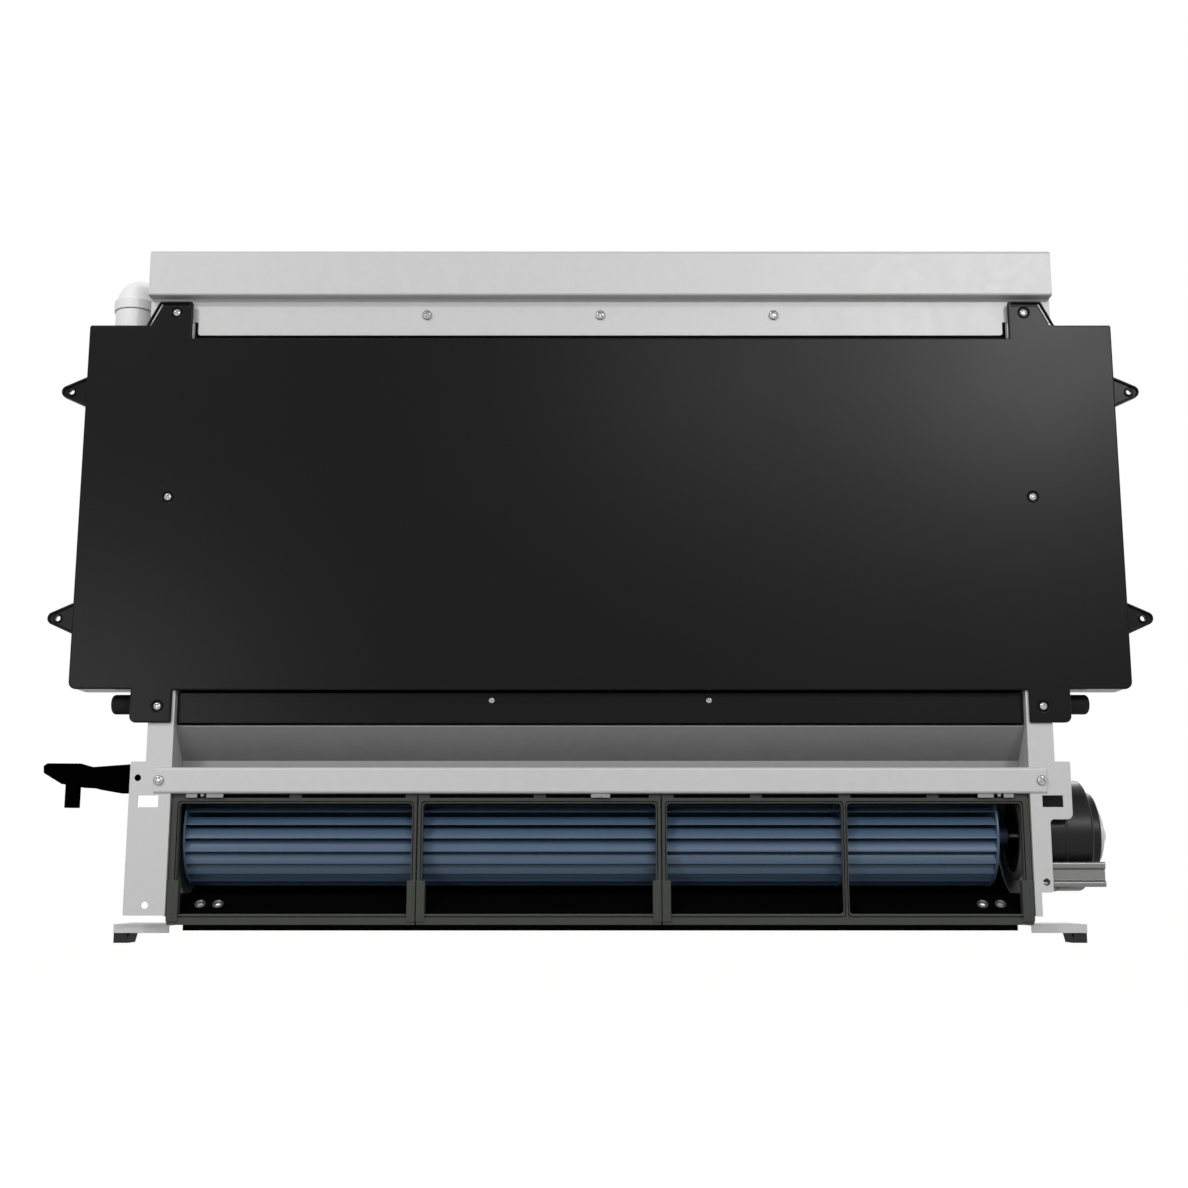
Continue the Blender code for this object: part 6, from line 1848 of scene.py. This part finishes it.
@dataclass
class TerminalBox:
    """The cover of the terminal box, with rounded edges and four screws."""

    low: tuple[float, float] = (0.3765, -0.0400)
    high: tuple[float, float] = (0.4285, 0.1000)
    front: float = -0.0533
    back: float = -0.0503

    def build(self) -> None:
        """Builds the cover and the screw heads in its corners."""
        (x0, z0), (x1, z1) = self.low, self.high
        form = Form("terminal_box_lid", BLACK_ABS)
        corners = [(x0, z0, 0.0030), (x1, z0, 0.0030), (x1, z1, 0.0030), (x0, z1, 0.0030)]
        form.plate(rounded(corners, steps=6), self.front + 0.0006, self.back, 0.0008, steps=4)
        inner = [
            (x0 + 0.0095, z0 + 0.0095, 0.0020),
            (x1 - 0.0095, z0 + 0.0095, 0.0020),
            (x1 - 0.0095, z1 - 0.0095, 0.0020),
            (x0 + 0.0095, z1 - 0.0095, 0.0020),
        ]
        form.plate(rounded(inner, steps=5), self.front, self.front + 0.0012, 0.0006)
        form.place(Body.CASING, "terminal_box_cover", slot="black_plastic")
        heads = Form("terminal_lid_screws", ZINC_BRIGHT)
        for x in (x0 + 0.0048, x1 - 0.0048):
            for z in (z0 + 0.0048, z1 - 0.0048):
                dome = [
                    (0.0, 0.0002),
                    (0.0011, 0.0004),
                    (0.0013, 0.0011),
                    (0.0021, 0.0008),
                    (0.0026, 0.0002),
                    (0.0026, -0.0002),
                    (0.0, -0.0002),
                ]
                heads.turned(dome, (x, self.front + 0.0008, z), Axis.FRONT, 28)
        heads.place(Body.CASING, slot="zinc_steel")


class Studio:
    """Plain pale floor, soft lamps, white background and the camera of the photograph."""

    focal_px: float = 1565.0
    image_px: float = 1188.0
    pitch_deg: float = 10.2855
    eye: tuple[float, float, float] = (0.0, -1.4125, -0.2494)
    floor_z: float = -0.62

    def camera(self) -> None:
        """Sets the camera from the perspective measured on the photograph's straight edges."""
        lens = bpy.data.cameras.new("front_camera")
        lens.sensor_width = 36.0
        lens.lens = 36.0 * self.focal_px / self.image_px
        lens.shift_x = -6.3 / self.image_px
        lens.clip_start = 0.05
        lens.clip_end = 60.0
        eye = bpy.data.objects.new("front_camera", lens)
        eye.location = self.eye
        eye.rotation_euler = (math.radians(90.0 + self.pitch_deg), 0.0, 0.0)
        bpy.context.scene.collection.objects.link(eye)
        bpy.context.scene.camera = eye

    def lamp(
        self, name: str, place: tuple, aim: tuple, size: tuple[float, float], watts: float
    ) -> None:
        """Adds one rectangular soft lamp.

        Args:
            name: its name.
            place: where it hangs.
            aim: the point that it faces.
            size: its width and height in metres.
            watts: its power.
        """
        light = bpy.data.lights.new(name, "AREA")
        light.shape = "RECTANGLE"
        light.size, light.size_y = size
        light.energy = watts
        lamp = bpy.data.objects.new(name, light)
        lamp.location = place
        lamp.rotation_euler = (Vector(aim) - Vector(place)).to_track_quat("-Z", "Y").to_euler()
        bpy.context.scene.collection.objects.link(lamp)

    def world(self) -> None:
        """White where the camera or a mirror-like surface looks, dimmer as a light."""
        world = bpy.data.worlds.new("studio_white")
        bpy.context.scene.world = world
        world.use_nodes = True
        tree = world.node_tree
        tree.nodes.clear()
        path = add_node(tree, "ShaderNodeLightPath").outputs
        seen = add_node(
            tree,
            "ShaderNodeMath",
            {0: path["Is Camera Ray"], 1: path["Is Transmission Ray"]},
            operation="MAXIMUM",
        ).outputs[0]
        seen = add_node(
            tree, "ShaderNodeMath", {0: seen, 1: path["Is Glossy Ray"]}, operation="MAXIMUM"
        ).outputs[0]
        strength = add_node(
            tree, "ShaderNodeMapRange", {"Value": seen, "To Min": 0.36, "To Max": 1.0}
        ).outputs["Result"]
        back = add_node(
            tree, "ShaderNodeBackground", {"Color": (1.0, 1.0, 1.0, 1.0), "Strength": strength}
        )
        out = add_node(tree, "ShaderNodeOutputWorld")
        tree.links.new(back.outputs[0], out.inputs["Surface"])

    def floor(self) -> None:
        """A pale matt floor that stays white to the camera but keeps the unit's shadow."""
        made = bpy.data.materials.new("pale_studio_floor")
        made.use_nodes = True
        tree = made.node_tree
        tree.nodes.clear()
        path = add_node(tree, "ShaderNodeLightPath").outputs
        seen = add_node(
            tree,
            "ShaderNodeMath",
            {0: path["Is Camera Ray"], 1: path["Is Glossy Ray"]},
            operation="MAXIMUM",
        ).outputs[0]
        glow = add_node(
            tree, "ShaderNodeEmission", {"Color": (1.0, 1.0, 1.0, 1.0), "Strength": seen}
        )
        strength = add_node(tree, "ShaderNodeMath", {0: seen, 1: 0.92}, operation="MULTIPLY")
        tree.links.new(strength.outputs[0], glow.inputs["Strength"])
        matt = add_node(tree, "ShaderNodeBsdfDiffuse", {"Color": linear("#7c7c7a")})
        both = add_node(tree, "ShaderNodeAddShader", {0: glow.outputs[0], 1: matt.outputs[0]})
        out = add_node(tree, "ShaderNodeOutputMaterial")
        tree.links.new(both.outputs[0], out.inputs["Surface"])
        mesh = bpy.data.meshes.new("studio_floor")
        far = 60.0
        corners = [(-far, -far), (far, -far), (far, far), (-far, far)]
        mesh.from_pydata([(x, y, self.floor_z) for x, y in corners], [], [(0, 1, 2, 3)])
        mesh.materials.append(made)
        floor = bpy.data.objects.new("studio_floor", mesh)
        bpy.context.scene.collection.objects.link(floor)

    def build(self) -> None:
        """Builds the whole studio."""
        self.camera()
        self.world()
        self.floor()
        middle = (0.0, -0.10, 0.0)
        self.lamp("left_key", (-1.9, -2.6, 2.3), middle, (0.45, 0.45), 36.0)
        self.lamp("right_spot", (1.30, -3.03, 1.27), middle, (0.42, 0.34), 25.0)
        self.lamp("right_strip", (0.55, -3.20, 1.27), middle, (1.0, 0.30), 10.0)
        self.lamp("low_left_fill", (-1.25, -2.30, 0.10), middle, (0.8, 0.5), 7.0)
        self.lamp("back_light", (0.6, 2.2, 1.6), middle, (1.4, 1.0), 32.0)
        bpy.context.scene.view_settings.view_transform = "Standard"


def main() -> None:
    """Builds the studio and each sub-assembly in turn."""
    logging.basicConfig(level=logging.INFO, format="%(message)s")
    Studio().build()
    dress_solids()
    parts = (
        Casing(),
        DripTray(),
        Fasteners(),
        IntakeFrames(),
        CrossFlowFan(),
        Motor(),
        Coil(),
        DrainCaps(),
        TerminalBox(),
        WaterPipe(),
    )
    for part in parts:
        LOG.info("building %s", type(part).__name__)
        part.build()
    bpy.context.view_layer.update()


if __name__ == "__main__":
    main()
